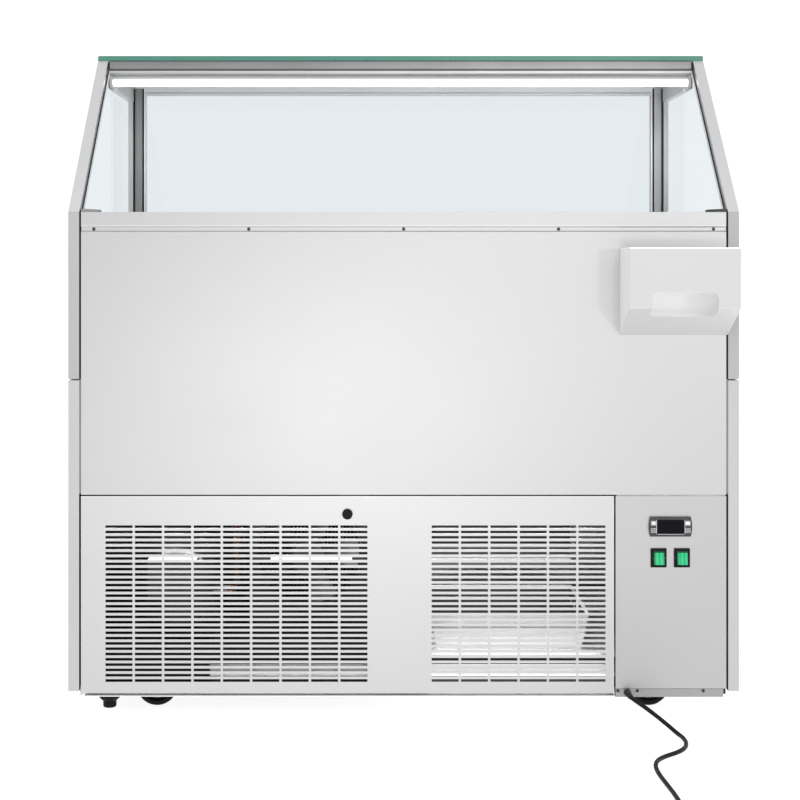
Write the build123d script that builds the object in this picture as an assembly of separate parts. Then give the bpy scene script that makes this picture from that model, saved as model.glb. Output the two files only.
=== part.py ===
"""Ice cream display freezer: a scooping cabinet on casters, seen from its service side.

Millimetres. X runs to the right as the server sees it, +Y towards the customer, +Z up.
The origin is on the floor, in the middle of the footprint that includes the scoop tray.
"""

import math
import os

from build123d import *

# Cabinet
cabinet_width = 1200.0
cabinet_depth = 650.0
cabinet_height = 1223.0
side_thickness = 20.0
side_clearance = 48.0
side_joint_height = 605.0
side_joint_gap = 2.0
bay_top = 399.0
sill_joint = 871.0
sill_top = 905.0
sill_depth = 118.0
sheet = 1.2
panel_gap = 3.0
contact_gap = 0.3

# Base
base_clearance = 38.0
base_sheet = 2.0
base_setback = 22.0
base_step_height = 52.0
base_step_depth = 25.0
base_end_inset = 8.5
caster_height = 105.0

# Tub and insulation
wall_insulation = 45.0
tub_rim = 14.0
tub_depth = 230.0
tub_corner = 20.0
pan_ledge_width = 18.0
pan_ledge_drop = 24.0
evaporator_tube = 8.0
evaporator_pitch = 62.0
evaporator_inset = 60.0
evaporator_recess = 10.0

# Canopy
top_glass_thickness = 10.0
top_glass_setback = 317.0
top_glass_lip = 3.0
side_glass_thickness = 6.0
front_glass_thickness = 6.0
front_ledge = 75.0
post_width = 35.0
post_depth = 40.0
post_setback = 25.0
post_lip = 13.0
post_recess = 11.7
post_slot = 3.0
glass_groove = 10.0
groove_clearance = 0.5
trim_width = 22.0
gasket_width = 11.0
gasket_height = 3.0
side_rail_height = 56.0
side_rail_width = 12.0
front_rail_height = 40.0
rear_rail_height = 28.0
rear_rail_depth = 26.0
rail_groove = 4.0
rail_groove_lift = 10.0

# Lamp
lamp_height = 20.0
lamp_depth = 24.0
lamp_setback = 8.0
lamp_wall = 1.5
lamp_cap_thickness = 8.0
lamp_cap_margin = 6.0

# Grille panel
panel_return = 15.0
panel_bottom = 45.0
panel_top_gap = 2.0
slot_length = 48.2
slot_height = 4.7
slot_web = 4.3
slot_row_pitch = 9.48
grille_left_margin = 44.0
grille_right_margin = 15.0
grille_top_margin = 52.2
grille_bottom_margin = 20.0
grille_blank = 114.5
grille_right_field = 311.0
pivot_pin = 2.5
pivot_fit = 0.08
pivot_inset = 8.0
pivot_lift = 7.0
pivot_ear = 1.5
latch_radius = 9.4
latch_head = 4.0
latch_shaft = 6.0
latch_drop = 32.0
latch_cam_width = 12.0
latch_cam_reach = 42.0
latch_cam_sheet = 2.5
latch_cam_inset = 6.0

# Control panel
control_width = 198.2
control_strip = 14.5
instrument_inset = 100.6
controller_width = 77.0
controller_height = 35.0
controller_bow = 2.5
controller_proud = 6.0
controller_body_width = 70.0
controller_body_height = 28.0
controller_body_depth = 55.0
controller_drop = 54.0
window_width = 48.0
window_height = 25.0
window_depth = 1.4
key_width = 7.0
key_height = 5.5
key_spread = 30.5
key_pitch = 13.0
key_depth = 3.6
key_proud = 0.4
key_travel_room = 1.0
switch_width = 28.3
switch_height = 34.0
switch_proud = 2.6
switch_pitch = 41.7
switch_drop = 110.0
switch_body_depth = 24.0
rocker_width = 19.2
rocker_radius = 12.8
rocker_rise = 4.2
rocker_dip = 2.2
rocker_back = 8.0
rocker_tilt = 8.0
rocker_sink = 1.0
rocker_pin = 1.6
rocker_clearance = 0.4

# Scoop tray
tray_reach = 105.0
tray_width = 192.5
tray_edge_gap = 0.5
tray_top = 841.0
tray_front_height = 105.0
tray_back_height = 156.0
tray_slot_width = 115.5
tray_slot_rise = 27.5
tray_slot_run = 36.0
tray_slot_corner = 12.0

# Machine bay
compressor_radius = 75.0
compressor_shell = 185.0
compressor_inset_x = 155.0
compressor_inset_y = 190.0
compressor_plate = 3.0
foot_height = 20.0
foot_radius = 12.0
condenser_inset_x = 280.0
condenser_width = 240.0
condenser_height = 262.0
condenser_depth = 60.0
condenser_inset_y = 330.0
condenser_tube = 10.0
condenser_rows = 5
fin_count = 30
fin_sheet = 0.8
end_plate = 2.0
fan_radius = 98.0
fan_ring_gap = 4.0
fan_ring_depth = 34.0
fan_hub_radius = 24.0
fan_hub_depth = 24.0
fan_blades = 5
fan_blade_sheet = 2.0
motor_radius = 36.0
motor_depth = 48.0
motor_gap = 3.0
motor_shaft = 4.0
guard_gap = 15.5
guard_height = 8.0
shaft_fit = 0.08
line_radius = 4.0
line_offset = 25.0
line_stub = 20.0
line_rise = 14.0
drier_radius = 10.0
drier_length = 80.0
evaporation_pan_width = 290.0
evaporation_pan_depth = 260.0
evaporation_pan_height = 66.8
evaporation_pan_inset = 60.0
evaporation_pan_margin = 26.0
evaporation_pan_wall = 2.0
baffle_setback = 350.0
baffle_drop = 200.0
baffle_shelf = 25.0
baffle_shelf_top = 175.0
baffle_shelf_height = 14.0

# Casters
wheel_radius = 37.5
wheel_width = 24.0
wheel_hub_width = 26.0
wheel_trail = 30.0
caster_inset_x = 158.0
caster_inset_y = 94.0
caster_plate_size = 64.0
caster_plate_sheet = 3.0
fork_sheet = 2.5
fork_gap = 0.5
crown_gap = 3.0
crown_sheet = 3.0
bearing_radius = 22.0
kingpin_radius = 6.0
axle_radius = 5.0
running_fit = 0.08

# Drain stub under the base
drain_inset_x = 49.0
drain_inset_y = 36.0
drain_flange_radius = 18.5
drain_flange_height = 14.5
drain_flange_taper = 5.0
drain_stub_radius = 12.0
drain_stub_bottom = 11.0
drain_riser_radius = 8.0

# Screws
screw_radius = 3.0
screw_head = 1.2
sill_screws = 5
sill_screw_pitch = 277.0
strip_screw_inset = 4.2
strip_screw_gap = 17.6
strip_screw_end = 41.6

# Supply cord
cord_diameter = 7.5
cord_lift = 0.05
gland_radius = 6.4
gland_head = 6.0
gland_neck_radius = 4.8
gland_hole_radius = 5.0
gland_height = 45.8
gland_inset = 21.2
coil_shift = 4.0
coil_reach = 590.0
coil_radius = 58.0
coil_pitch = 9.0
coil_layer = 8.2
coil_half_turns_in = 3
coil_half_turns_out = 4
coil_tail = 72.0
plug_width = 36.0
plug_length = 42.0
plug_relief = 20.0
plug_corner = 8.0
plug_pin_radius = 2.4
plug_pin_length = 19.0
plug_pin_pitch = 19.0

# Planes and levels that follow from the sizes above
service_y = tray_reach - (cabinet_depth + tray_reach) / 2
front_y = service_y + cabinet_depth
middle_y = (service_y + front_y) / 2
half_width = cabinet_width / 2
inner_x = half_width - side_thickness
panel_x = inner_x - panel_gap
base_step = base_clearance + base_step_height
rail_y = service_y + base_setback
floor_top = caster_height + base_sheet
bay_ceiling = bay_top + sheet
tub_rim_top = sill_joint + sheet
tub_floor = sill_joint - tub_depth
tub_x = inner_x - wall_insulation
tub_y0 = service_y + sill_depth + tub_rim
tub_y1 = front_y - front_ledge - tub_rim
canopy_top = cabinet_height - top_glass_thickness
post_y1 = front_y - post_setback
post_y0 = post_y1 - post_depth
post_x0 = inner_x - post_width
glass_x0 = inner_x + 2 * contact_gap
glass_x1 = glass_x0 + side_glass_thickness
front_glass_y0 = post_y0 + (post_depth - front_glass_thickness) / 2
front_glass_y1 = front_glass_y0 + front_glass_thickness
rear_rail_y = service_y + top_glass_setback
rear_rail_bottom = canopy_top - rear_rail_height
lamp_y = rear_rail_y + lamp_setback
control_x1 = panel_x
control_x0 = control_x1 - control_width
grille_x0 = -panel_x
grille_x1 = control_x0 - panel_gap
grille_top = bay_top - panel_top_gap
pivot_y = service_y + pivot_inset
pivot_z = panel_bottom + pivot_lift
instrument_x = control_x1 - instrument_inset
controller_z = grille_top - controller_drop
switch_z = grille_top - switch_drop
rocker_y = service_y - rocker_sink
latch_x = (grille_x0 + grille_x1) / 2
latch_z = grille_top - latch_drop
cam_sweep_x = (latch_x - latch_cam_width, latch_x + latch_cam_reach)
cam_sweep_y = (service_y + sheet, service_y + panel_return)
tray_x1 = inner_x - tray_edge_gap
tray_x0 = tray_x1 - tray_width
tray_front_y = service_y - tray_reach
compressor_x = -inner_x + compressor_inset_x
compressor_y = service_y + compressor_inset_y
compressor_base = floor_top + foot_height
shell_base = compressor_base + compressor_plate
condenser_x0 = -inner_x + condenser_inset_x
condenser_x1 = condenser_x0 + condenser_width
condenser_y0 = service_y + condenser_inset_y
condenser_y1 = condenser_y0 + condenser_depth
condenser_top = floor_top + condenser_height
fan_x = (condenser_x0 + condenser_x1) / 2
fan_z = floor_top + condenser_height / 2
crown_bottom = 2 * wheel_radius + crown_gap
crown_top = crown_bottom + crown_sheet
plate_bottom = caster_height - caster_plate_sheet
cord_radius = cord_diameter / 2
cord_floor = cord_radius + cord_lift
gland_x = control_x0 + gland_inset
drain_x = -inner_x + drain_inset_x
drain_y = service_y + drain_inset_y


def span(x, y, z):
    """Solid block between the two ends given for each axis."""
    middle = [(ends[0] + ends[1]) / 2 for ends in (x, y, z)]
    size = [ends[1] - ends[0] for ends in (x, y, z)]
    return Pos(*middle) * Box(*size)


def outline(*points):
    """Closed face through the points."""
    return make_face(Polyline(*points, close=True))


def fold(points, thickness, side):
    """Section of a folded sheet whose one face follows the points."""
    line = Polyline(*points)
    return make_face(offset(line, amount=thickness, kind=Kind.INTERSECTION, side=side, closed=True))


def along_x(face, x0, x1):
    """Extrusion of a (Y, Z) section from x0 to x1."""
    return extrude(Plane.YZ.offset(x0) * face, amount=x1 - x0)


def along_y(face, y0, y1):
    """Extrusion of an (X, Z) section from y0 to y1."""
    return extrude(Plane.XZ.offset(-y0) * face, amount=y0 - y1)


def along_z(face, z0, z1):
    """Extrusion of an (X, Y) section from z0 to z1."""
    return extrude(Plane.XY.offset(z0) * face, amount=z1 - z0)


def rod_x(radius, x0, x1, y, z):
    """Round bar along X."""
    return along_x(Pos(y, z) * Circle(radius), x0, x1)


def rod_y(radius, x, y0, y1, z):
    """Round bar along Y."""
    return along_y(Pos(x, z) * Circle(radius), y0, y1)


def rod_z(radius, x, y, z0, z1):
    """Round bar along Z."""
    return along_z(Pos(x, y) * Circle(radius), z0, z1)


def twin(solid):
    """The same piece on the other side of the cabinet."""
    return mirror(solid, about=Plane.YZ)


def pipe(points, radii, radius):
    """Round tube along straight runs joined by arcs of the given radii."""
    path = FilletPolyline(*points, radius=radii)
    return sweep(Plane(origin=path @ 0, z_dir=path % 0) * Circle(radius), path=path)


# Base: folded rails all round, the bay's floor, the pivots of the grille panel
def base_frame():
    rear = fold(
        [
            (service_y + base_sheet, base_clearance),
            (rail_y, base_clearance),
            (rail_y, base_step),
            (rail_y + base_step_depth, base_step),
            (rail_y + base_step_depth, floor_top),
        ],
        base_sheet,
        Side.LEFT,
    )
    rail = along_x(rear, -inner_x, inner_x)
    front_rail = mirror(rail, about=Plane.XZ.offset(-middle_y))
    floor_y0 = rail_y + base_step_depth - base_sheet
    floor_y1 = 2 * middle_y - floor_y0
    frame = rail + front_rail
    frame += span((-inner_x, inner_x), (floor_y0, floor_y1), (caster_height, floor_top))
    side = span(
        (inner_x - base_sheet, inner_x),
        (rail_y - base_sheet, 2 * middle_y - rail_y + base_sheet),
        (base_clearance, floor_top),
    )
    frame += [side, twin(side)]
    strip_z = (base_clearance, base_clearance + control_strip)
    frame += span((control_x0, inner_x), (service_y, service_y + base_sheet), strip_z)
    lip_end = span((inner_x - base_end_inset, inner_x), (service_y, rail_y - base_sheet), strip_z)
    frame -= [lip_end, twin(lip_end)]
    frame -= rod_y(gland_hole_radius, gland_x, service_y, service_y + base_sheet, gland_height)
    frame -= rod_z(drain_riser_radius + contact_gap, drain_x, drain_y, base_clearance, caster_height)
    for edge, inward in ((grille_x0, 1), (grille_x1, -1)):
        ear_outer = edge - inward * (panel_gap + pivot_ear) / 2
        ear_inner = ear_outer + inward * pivot_ear
        ear_ends = sorted((ear_outer, ear_inner))
        frame += span(
            ear_ends,
            (pivot_y - pivot_lift / 2, rail_y - base_sheet),
            (base_clearance, pivot_z + pivot_lift / 2),
        )
        pin_ends = sorted((ear_outer, edge + inward * 2 * pivot_lift))
        frame += rod_x(pivot_pin, *pin_ends, pivot_y, pivot_z)
    return frame


# Outer skins: sandwich sides, folded sheet front, rear and sill
def side_panel():
    panel = span(
        (inner_x, half_width),
        (service_y, front_y),
        (side_clearance, side_joint_height - side_joint_gap / 2),
    )
    corners = panel.edges().filter_by(Axis.Z).group_by(Axis.X)[-1]
    return fillet(corners, radius=sheet)


def side_cover():
    cover = span(
        (inner_x, half_width),
        (service_y, front_y),
        (side_joint_height + side_joint_gap / 2, sill_top),
    )
    corners = cover.edges().filter_by(Axis.Z).group_by(Axis.X)[-1]
    return fillet(corners, radius=sheet)


def rear_panel():
    section = fold(
        [
            (service_y + panel_return, bay_top),
            (service_y, bay_top),
            (service_y, sill_joint - sheet),
        ],
        sheet,
        Side.RIGHT,
    )
    panel = along_x(section, -panel_x, panel_x)
    return panel - span(cam_sweep_x, cam_sweep_y, (bay_top, bay_top + sheet))


def sill_cap():
    fold_height = sill_joint + (sill_top - sill_joint) / 5
    section = fold(
        [
            (service_y + sheet, sill_joint),
            (service_y + sheet, fold_height),
            (service_y, fold_height + sheet),
            (service_y, sill_top),
            (service_y + sill_depth, sill_top),
            (service_y + sill_depth, tub_rim_top),
        ],
        sheet,
        Side.RIGHT,
    )
    return along_x(section, -panel_x, panel_x)


def front_panel():
    section = fold(
        [
            (front_y, side_clearance),
            (front_y, sill_top),
            (front_y - front_ledge, sill_top),
            (front_y - front_ledge, tub_rim_top),
        ],
        sheet,
        Side.LEFT,
    )
    return along_x(section, -panel_x, panel_x)


# Insulated body, the tub liner in it and the evaporator under the liner
def foam_body():
    body = span(
        (-inner_x, inner_x),
        (service_y + sheet, front_y - sheet),
        (bay_ceiling, sill_joint),
    )
    body -= span(
        (-tub_x - sheet, tub_x + sheet),
        (tub_y0 - sheet, tub_y1 + sheet),
        (tub_floor - sheet, sill_joint),
    )
    body -= span(
        (-tub_x + evaporator_recess, tub_x - evaporator_recess),
        (tub_y0 + evaporator_recess, tub_y1 - evaporator_recess),
        (tub_floor - sheet - evaporator_recess, tub_floor),
    )
    body -= span(
        (-panel_x, panel_x),
        (service_y + sheet, service_y + 2 * sheet),
        (sill_joint - sheet, sill_joint),
    )
    return body - span(cam_sweep_x, cam_sweep_y, (bay_ceiling, latch_z + latch_cam_reach + panel_gap))


def tub_liner():
    length = 2 * tub_x
    width = tub_y1 - tub_y0
    center = Pos(0, (tub_y0 + tub_y1) / 2)
    outside = RectangleRounded(length + 2 * sheet, width + 2 * sheet, tub_corner + sheet)
    inside = RectangleRounded(length, width, tub_corner)
    flange = Rectangle(2 * panel_x, width + 2 * tub_rim)
    liner = along_z(center * outside, tub_floor - sheet, tub_rim_top)
    liner += along_z(center * flange, sill_joint, tub_rim_top)
    return liner - along_z(center * inside, tub_floor, tub_rim_top)


def pan_rails():
    hook = tub_rim - 4 * contact_gap
    section = fold(
        [
            (tub_y0 - hook, tub_rim_top),
            (tub_y0 + contact_gap, tub_rim_top),
            (tub_y0 + contact_gap, tub_rim_top - pan_ledge_drop),
            (tub_y0 + pan_ledge_width, tub_rim_top - pan_ledge_drop),
        ],
        sheet,
        Side.LEFT,
    )
    rear = along_x(section, -tub_x + tub_corner, tub_x - tub_corner)
    return [rear, mirror(rear, about=Plane.XZ.offset(-(tub_y0 + tub_y1) / 2))]


def evaporator_coil():
    radius = evaporator_tube / 2
    height = tub_floor - sheet - radius - contact_gap
    x1 = tub_x - evaporator_inset
    depth = tub_y1 - tub_y0 - 2 * evaporator_inset
    runs = max(2, 1 + int(depth / evaporator_pitch))
    y = (tub_y0 + tub_y1) / 2 - (runs - 1) * evaporator_pitch / 2
    edges = []
    start = -x1
    for run in range(runs):
        edges.append(Line((start, y, height), (-start, y, height)))
        if run < runs - 1:
            bulge = -start + math.copysign(evaporator_pitch / 2, -start)
            middle = (bulge, y + evaporator_pitch / 2, height)
            edges.append(ThreePointArc((-start, y, height), middle, (-start, y + evaporator_pitch, height)))
        start = -start
        y += evaporator_pitch
    path = Wire(edges)
    return sweep(Plane(origin=path @ 0, z_dir=path % 0) * Circle(radius), path=path)


# Canopy: slanted side trims, posts and rails, glass and gaskets
trim_run = top_glass_setback
trim_rise = canopy_top - sill_top
trim_span = trim_width * math.hypot(trim_run, trim_rise) / trim_rise
glass_inset = trim_span * (1 - glass_groove / trim_width)


def slanted(near, far, z0=sill_top, z1=canopy_top):
    """Section between two lines parallel to the slanted edge, given by their Y at the sill."""
    def at(offset_y, z):
        return (service_y + offset_y + trim_run * (z - sill_top) / trim_rise, z)

    return outline(at(near, z0), at(near, z1), at(far, z1), at(far, z0))


def side_trim():
    trim = along_x(slanted(0, trim_span), inner_x, half_width)
    groove = along_x(
        slanted(glass_inset - groove_clearance, trim_span),
        glass_x0 - groove_clearance,
        glass_x1 + groove_clearance,
    )
    return trim - groove


def side_glass():
    slope = trim_run / trim_rise
    bottom = service_y + glass_inset
    face = outline(
        (bottom, sill_top),
        (bottom + slope * trim_rise, canopy_top),
        (post_y1, canopy_top),
        (post_y1, sill_top),
    )
    return along_x(face, glass_x0, glass_x1)


def front_glass():
    return span(
        (-post_x0 - glass_groove, post_x0 + glass_groove),
        (front_glass_y0, front_glass_y1),
        (sill_top + gasket_height, canopy_top - front_rail_height + glass_groove),
    )


def top_glass():
    glass = span(
        (-half_width, half_width),
        (rear_rail_y, post_y1 + top_glass_lip),
        (canopy_top, cabinet_height),
    )
    return chamfer(glass.edges().group_by(Axis.Z)[-1], length=sheet)


def glass_gaskets():
    slant = along_x(slanted(trim_span - gasket_width, trim_span), panel_x, inner_x)
    gap_x = (panel_x, inner_x)
    upright = span(gap_x, (service_y + sheet, service_y + gasket_width), (sill_joint, sill_top))
    strip_z0 = side_joint_height + side_joint_gap / 2
    upright += span(gap_x, (service_y + contact_gap, service_y + sheet), (strip_z0, sill_top))
    foot = span(
        (-post_x0, post_x0),
        (front_glass_y0 - gasket_height, front_glass_y1 + gasket_height),
        (sill_top, sill_top + gasket_height),
    )
    return [slant, twin(slant), upright, twin(upright), foot]


def canopy_frame():
    groove_y = (front_glass_y0 - groove_clearance, front_glass_y1 + groove_clearance)
    groove_depth = glass_groove + groove_clearance
    recess_y = post_y0 + post_recess
    slot_y = (recess_y, recess_y + post_slot)
    lip_x = inner_x - post_lip
    post_z = (sill_top, canopy_top)
    post = span((post_x0, inner_x), (post_y0, post_y1), post_z)
    post -= span((post_x0, lip_x), (post_y0, recess_y), post_z)
    post -= span((lip_x, lip_x + post_slot), (post_y0, recess_y + post_slot), post_z)
    post -= span((post_x0 + post_slot, post_x0 + 2 * post_slot), slot_y, post_z)
    post -= span((post_x0, post_x0 + groove_depth), groove_y, post_z)
    between = (-post_x0, post_x0)
    front_z = canopy_top - front_rail_height
    front = span(between, (recess_y, post_y1), (front_z, canopy_top))
    front -= span(between, slot_y, (front_z + post_slot, front_z + 2 * post_slot))
    front -= span(between, groove_y, (front_z, front_z + groove_depth))
    side_y = (lamp_y + lamp_depth + lamp_cap_margin, post_y0)
    side_x = inner_x - side_rail_width
    side_z = canopy_top - side_rail_height / 2
    side = span((side_x, inner_x), side_y, (canopy_top - side_rail_height, canopy_top))
    side -= span((side_x, side_x + side_rail_width / 2), side_y, (side_z, side_z + rail_groove))
    return [post, twin(post), front, side, twin(side)]


def rear_top_rail():
    y1 = rear_rail_y + rear_rail_depth
    section = outline(
        (rear_rail_y, canopy_top),
        (y1, canopy_top),
        (y1, rear_rail_bottom),
        (rear_rail_y, rear_rail_bottom),
    )
    section -= Pos(rear_rail_y, rear_rail_bottom + rail_groove_lift) * Rectangle(rail_groove, rail_groove)
    rail = along_x(section, -panel_x, panel_x)
    lower = rail.edges().filter_by(Axis.X).group_by(Axis.Z)[0].sort_by(Axis.Y)[0]
    return fillet(lower, radius=rail_groove)


# Lamp under the rear top rail
def lamp_channel():
    section = fold(
        [
            (lamp_y, rear_rail_bottom),
            (lamp_y + lamp_depth, rear_rail_bottom),
            (lamp_y + lamp_depth, rear_rail_bottom - lamp_height),
        ],
        lamp_wall,
        Side.RIGHT,
    )
    length = inner_x - lamp_cap_thickness
    return along_x(section, -length, length)


def lamp_diffuser():
    top = rear_rail_bottom - lamp_wall
    bottom = rear_rail_bottom - lamp_height
    back = lamp_y + lamp_depth - lamp_wall
    nose = (top + bottom) / 2
    bend = (top - bottom) / 4
    profile = make_face(
        [
            Line((back, top), (lamp_y + bend, top)),
            ThreePointArc((lamp_y + bend, top), (lamp_y, nose), (lamp_y + bend, bottom)),
            Line((lamp_y + bend, bottom), (back, bottom)),
            Line((back, bottom), (back, top)),
        ]
    )
    hollow = Pos((lamp_y + back) / 2 + lamp_wall, nose) * Rectangle(
        back - lamp_y - 2 * bend, top - bottom - 2 * lamp_wall
    )
    length = inner_x - lamp_cap_thickness
    return along_x(profile - hollow, -length, length)


def lamp_end_caps():
    cap = span(
        (inner_x - lamp_cap_thickness, inner_x),
        (lamp_y - lamp_cap_margin / 2, lamp_y + lamp_depth + lamp_cap_margin / 2),
        (rear_rail_bottom - lamp_height - lamp_cap_margin, rear_rail_bottom),
    )
    cap = fillet(cap.edges().filter_by(Axis.X).group_by(Axis.Z)[0], radius=lamp_cap_margin)
    return [cap, twin(cap)]


# Grille panel: a folded pan with two fields of punched slots, and its quarter-turn latch
def slot_field(x0, columns, rows):
    """Face of slots whose lower left corner is at x0, above the panel's lower margin."""
    pitch = slot_length + slot_web
    z0 = panel_bottom + grille_bottom_margin
    center_x = x0 + (columns * pitch - slot_web) / 2
    center_z = z0 + ((rows - 1) * slot_row_pitch + slot_height) / 2
    places = GridLocations(pitch, slot_row_pitch, columns, rows)
    return [Pos(center_x, center_z) * place * Rectangle(slot_length, slot_height) for place in places]


def grille_panel():
    width = grille_x1 - grille_x0
    height = grille_top - panel_bottom
    center = Pos((grille_x0 + grille_x1) / 2, (panel_bottom + grille_top) / 2)
    pitch = slot_length + slot_web
    rows_height = height - grille_top_margin - grille_bottom_margin
    rows = 1 + int((rows_height - slot_height) / slot_row_pitch + 0.01)
    left_field = width - grille_left_margin - grille_right_margin - grille_blank - grille_right_field
    left_columns = int((left_field + slot_web) / pitch + 0.01)
    right_columns = int((grille_right_field + slot_web) / pitch + 0.01)
    right_x0 = grille_x1 - grille_right_margin - right_columns * pitch + slot_web
    slots = slot_field(grille_x0 + grille_left_margin, left_columns, rows)
    slots += slot_field(right_x0, right_columns, rows)
    slots += [Pos(latch_x, latch_z) * Circle(latch_shaft + running_fit)]
    plate = center * Rectangle(width, height)
    panel = along_y(plate - slots, service_y, service_y + sheet)
    rim = plate - center * Rectangle(width - 2 * sheet, height - 2 * sheet)
    panel += along_y(rim, service_y, service_y + panel_return)
    panel -= rod_x(pivot_pin + pivot_fit, grille_x0, grille_x1, pivot_y, pivot_z)
    return panel - span(cam_sweep_x, cam_sweep_y, (grille_top - sheet, grille_top))


def grille_latch():
    head_back = service_y - contact_gap / 2
    cam_y0 = service_y + latch_cam_inset
    latch = rod_y(latch_radius, latch_x, head_back - latch_head, head_back, latch_z)
    latch = fillet(latch.edges().sort_by(Axis.Y)[0], radius=latch_head / 4)
    latch += rod_y(latch_shaft, latch_x, head_back, cam_y0 + latch_cam_sheet, latch_z)
    reach = latch_cam_reach - latch_cam_width / 2
    cam = Pos(latch_x + reach / 2, latch_z) * SlotCenterToCenter(reach, latch_cam_width)
    latch += along_y(cam, cam_y0, cam_y0 + latch_cam_sheet)
    return latch - span(
        (latch_x - latch_radius / 8, latch_x + latch_radius / 8),
        (head_back - latch_head, head_back - latch_head / 2),
        (latch_z - latch_radius / 2, latch_z + latch_radius / 2),
    )


# Control panel with the temperature controller and two rocker switches
def control_panel():
    bottom = base_clearance + control_strip + contact_gap
    face = outline(
        (control_x0, bottom),
        (control_x1, bottom),
        (control_x1, grille_top),
        (control_x0, grille_top),
    )
    holes = [
        Pos(instrument_x, controller_z) * Rectangle(controller_body_width + 1, controller_body_height + 1)
    ]
    for side in (-1, 1):
        x = instrument_x + side * switch_pitch / 2
        holes.append(Pos(x, switch_z) * Rectangle(switch_body_width() + 1, switch_body_height() + 1))
    panel = along_y(face - holes, service_y, service_y + sheet)
    rim = face - offset(face, amount=-sheet, kind=Kind.INTERSECTION)
    panel += along_y(rim, service_y, service_y + panel_return)
    return panel


def controller_housing():
    half_w = controller_width / 2
    half_h = controller_height / 2
    inset = half_w - controller_bow
    bezel = make_face(
        [
            Line((-inset, half_h), (inset, half_h)),
            ThreePointArc((inset, half_h), (half_w, 0), (inset, -half_h)),
            Line((inset, -half_h), (-inset, -half_h)),
            ThreePointArc((-inset, -half_h), (-half_w, 0), (-inset, half_h)),
        ]
    )
    place = Pos(instrument_x, controller_z)
    front = service_y - controller_proud
    housing = along_y(place * bezel, front, service_y)
    housing = fillet(housing.edges().group_by(Axis.Y)[0], radius=sheet)
    body = place * Rectangle(controller_body_width, controller_body_height)
    housing += along_y(body, service_y, service_y + controller_body_depth)
    recess = place * RectangleRounded(window_width, window_height, sheet)
    housing -= along_y(recess, front, front + window_depth)
    for x, z in key_places():
        pocket = Rectangle(key_width + 2 * contact_gap, key_height + 2 * contact_gap)
        depth = key_depth - key_proud + key_travel_room
        housing -= along_y(Pos(x, z) * pocket, front, front + depth)
    return housing


def controller_window():
    front = service_y - controller_proud
    pane = RectangleRounded(window_width - contact_gap, window_height - contact_gap, sheet)
    return along_y(Pos(instrument_x, controller_z) * pane, front + contact_gap, front + window_depth)


def key_places():
    """Centres of the keys, left pair first, upper one first."""
    return [
        (instrument_x + side * key_spread, controller_z + row * key_pitch / 2)
        for side in (-1, 1)
        for row in (1, -1)
    ]


def controller_key(x, z):
    front = service_y - controller_proud - key_proud
    cap = RectangleRounded(key_width, key_height, sheet)
    return along_y(Pos(x, z) * cap, front, front + key_depth)


def switch_body_width():
    return rocker_width + 4 * rocker_clearance + 2 * rocker_pin


def switch_body_height():
    return 2 * rocker_radius + 4 * rocker_clearance + 2 * rocker_pin


def switch_bezels():
    bezels = []
    for side in (-1, 1):
        x = instrument_x + side * switch_pitch / 2
        place = Pos(x, switch_z)
        front = service_y - switch_proud
        back = service_y + switch_body_depth
        frame = along_y(place * RectangleRounded(switch_width, switch_height, sheet), front, service_y)
        frame += along_y(place * Rectangle(switch_body_width(), switch_body_height()), service_y, back)
        well = Rectangle(rocker_width + 2 * rocker_clearance, 2 * (rocker_radius + rocker_clearance))
        frame -= along_y(place * well, front, back - 2 * rocker_pin)
        reach = rocker_width / 2 + rocker_pin + rocker_clearance
        frame -= rod_x(rocker_pin + running_fit, x - reach, x + reach, rocker_y, switch_z)
        bezels.append(frame)
    return bezels


def rocker(x):
    half = math.sqrt(rocker_radius**2 - rocker_rise**2)
    back = math.sqrt(rocker_radius**2 - rocker_back**2)
    section = make_face(
        [
            Line((-rocker_dip, 0), (-rocker_rise, half)),
            ThreePointArc((-rocker_rise, half), (0, rocker_radius), (rocker_back, back)),
            Line((rocker_back, back), (rocker_back, -back)),
            ThreePointArc((rocker_back, -back), (0, -rocker_radius), (-rocker_rise, -half)),
            Line((-rocker_rise, -half), (-rocker_dip, 0)),
        ]
    )
    body = along_x(section, -rocker_width / 2, rocker_width / 2)
    reach = rocker_width / 2 + rocker_pin
    body += rod_x(rocker_pin, -reach, reach, 0, 0)
    return Pos(x, rocker_y, switch_z) * Rot(-rocker_tilt, 0, 0) * body


# Scoop tray: a folded sheet trough with closed ends and a rounded slot over its lower bend
def scoop_tray():
    back_bottom = (service_y, tray_top - tray_back_height)
    front_bottom = (tray_front_y, tray_top - tray_front_height)
    corners = [(service_y, tray_top), back_bottom, front_bottom, (tray_front_y, tray_top)]
    trough = along_x(fold(corners, sheet, Side.RIGHT), tray_x0, tray_x1)
    end = outline(*corners)
    trough += along_x(end, tray_x0, tray_x0 + sheet)
    trough += along_x(end, tray_x1 - sheet, tray_x1)
    slope = Vector(0, back_bottom[0] - front_bottom[0], back_bottom[1] - front_bottom[1]).normalized()
    outward = (Vector(0, -1, 0) + Vector(0, slope.Z, -slope.Y)).normalized()
    across = Vector(1, 0, 0)
    up = outward.cross(across)
    rise = tray_slot_rise * abs(up.Z)
    run = tray_slot_run * abs(up.dot(slope))
    bend = Vector((tray_x0 + tray_x1) / 2, *front_bottom)
    mouth = Plane(origin=bend, x_dir=across, z_dir=outward)
    shift = (rise - run) / 2 if mouth.y_dir.Z > 0 else (run - rise) / 2
    slot = mouth * Pos(0, shift) * RectangleRounded(tray_slot_width, rise + run, tray_slot_corner)
    return trough - extrude(slot, amount=tray_slot_run, both=True)


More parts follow.
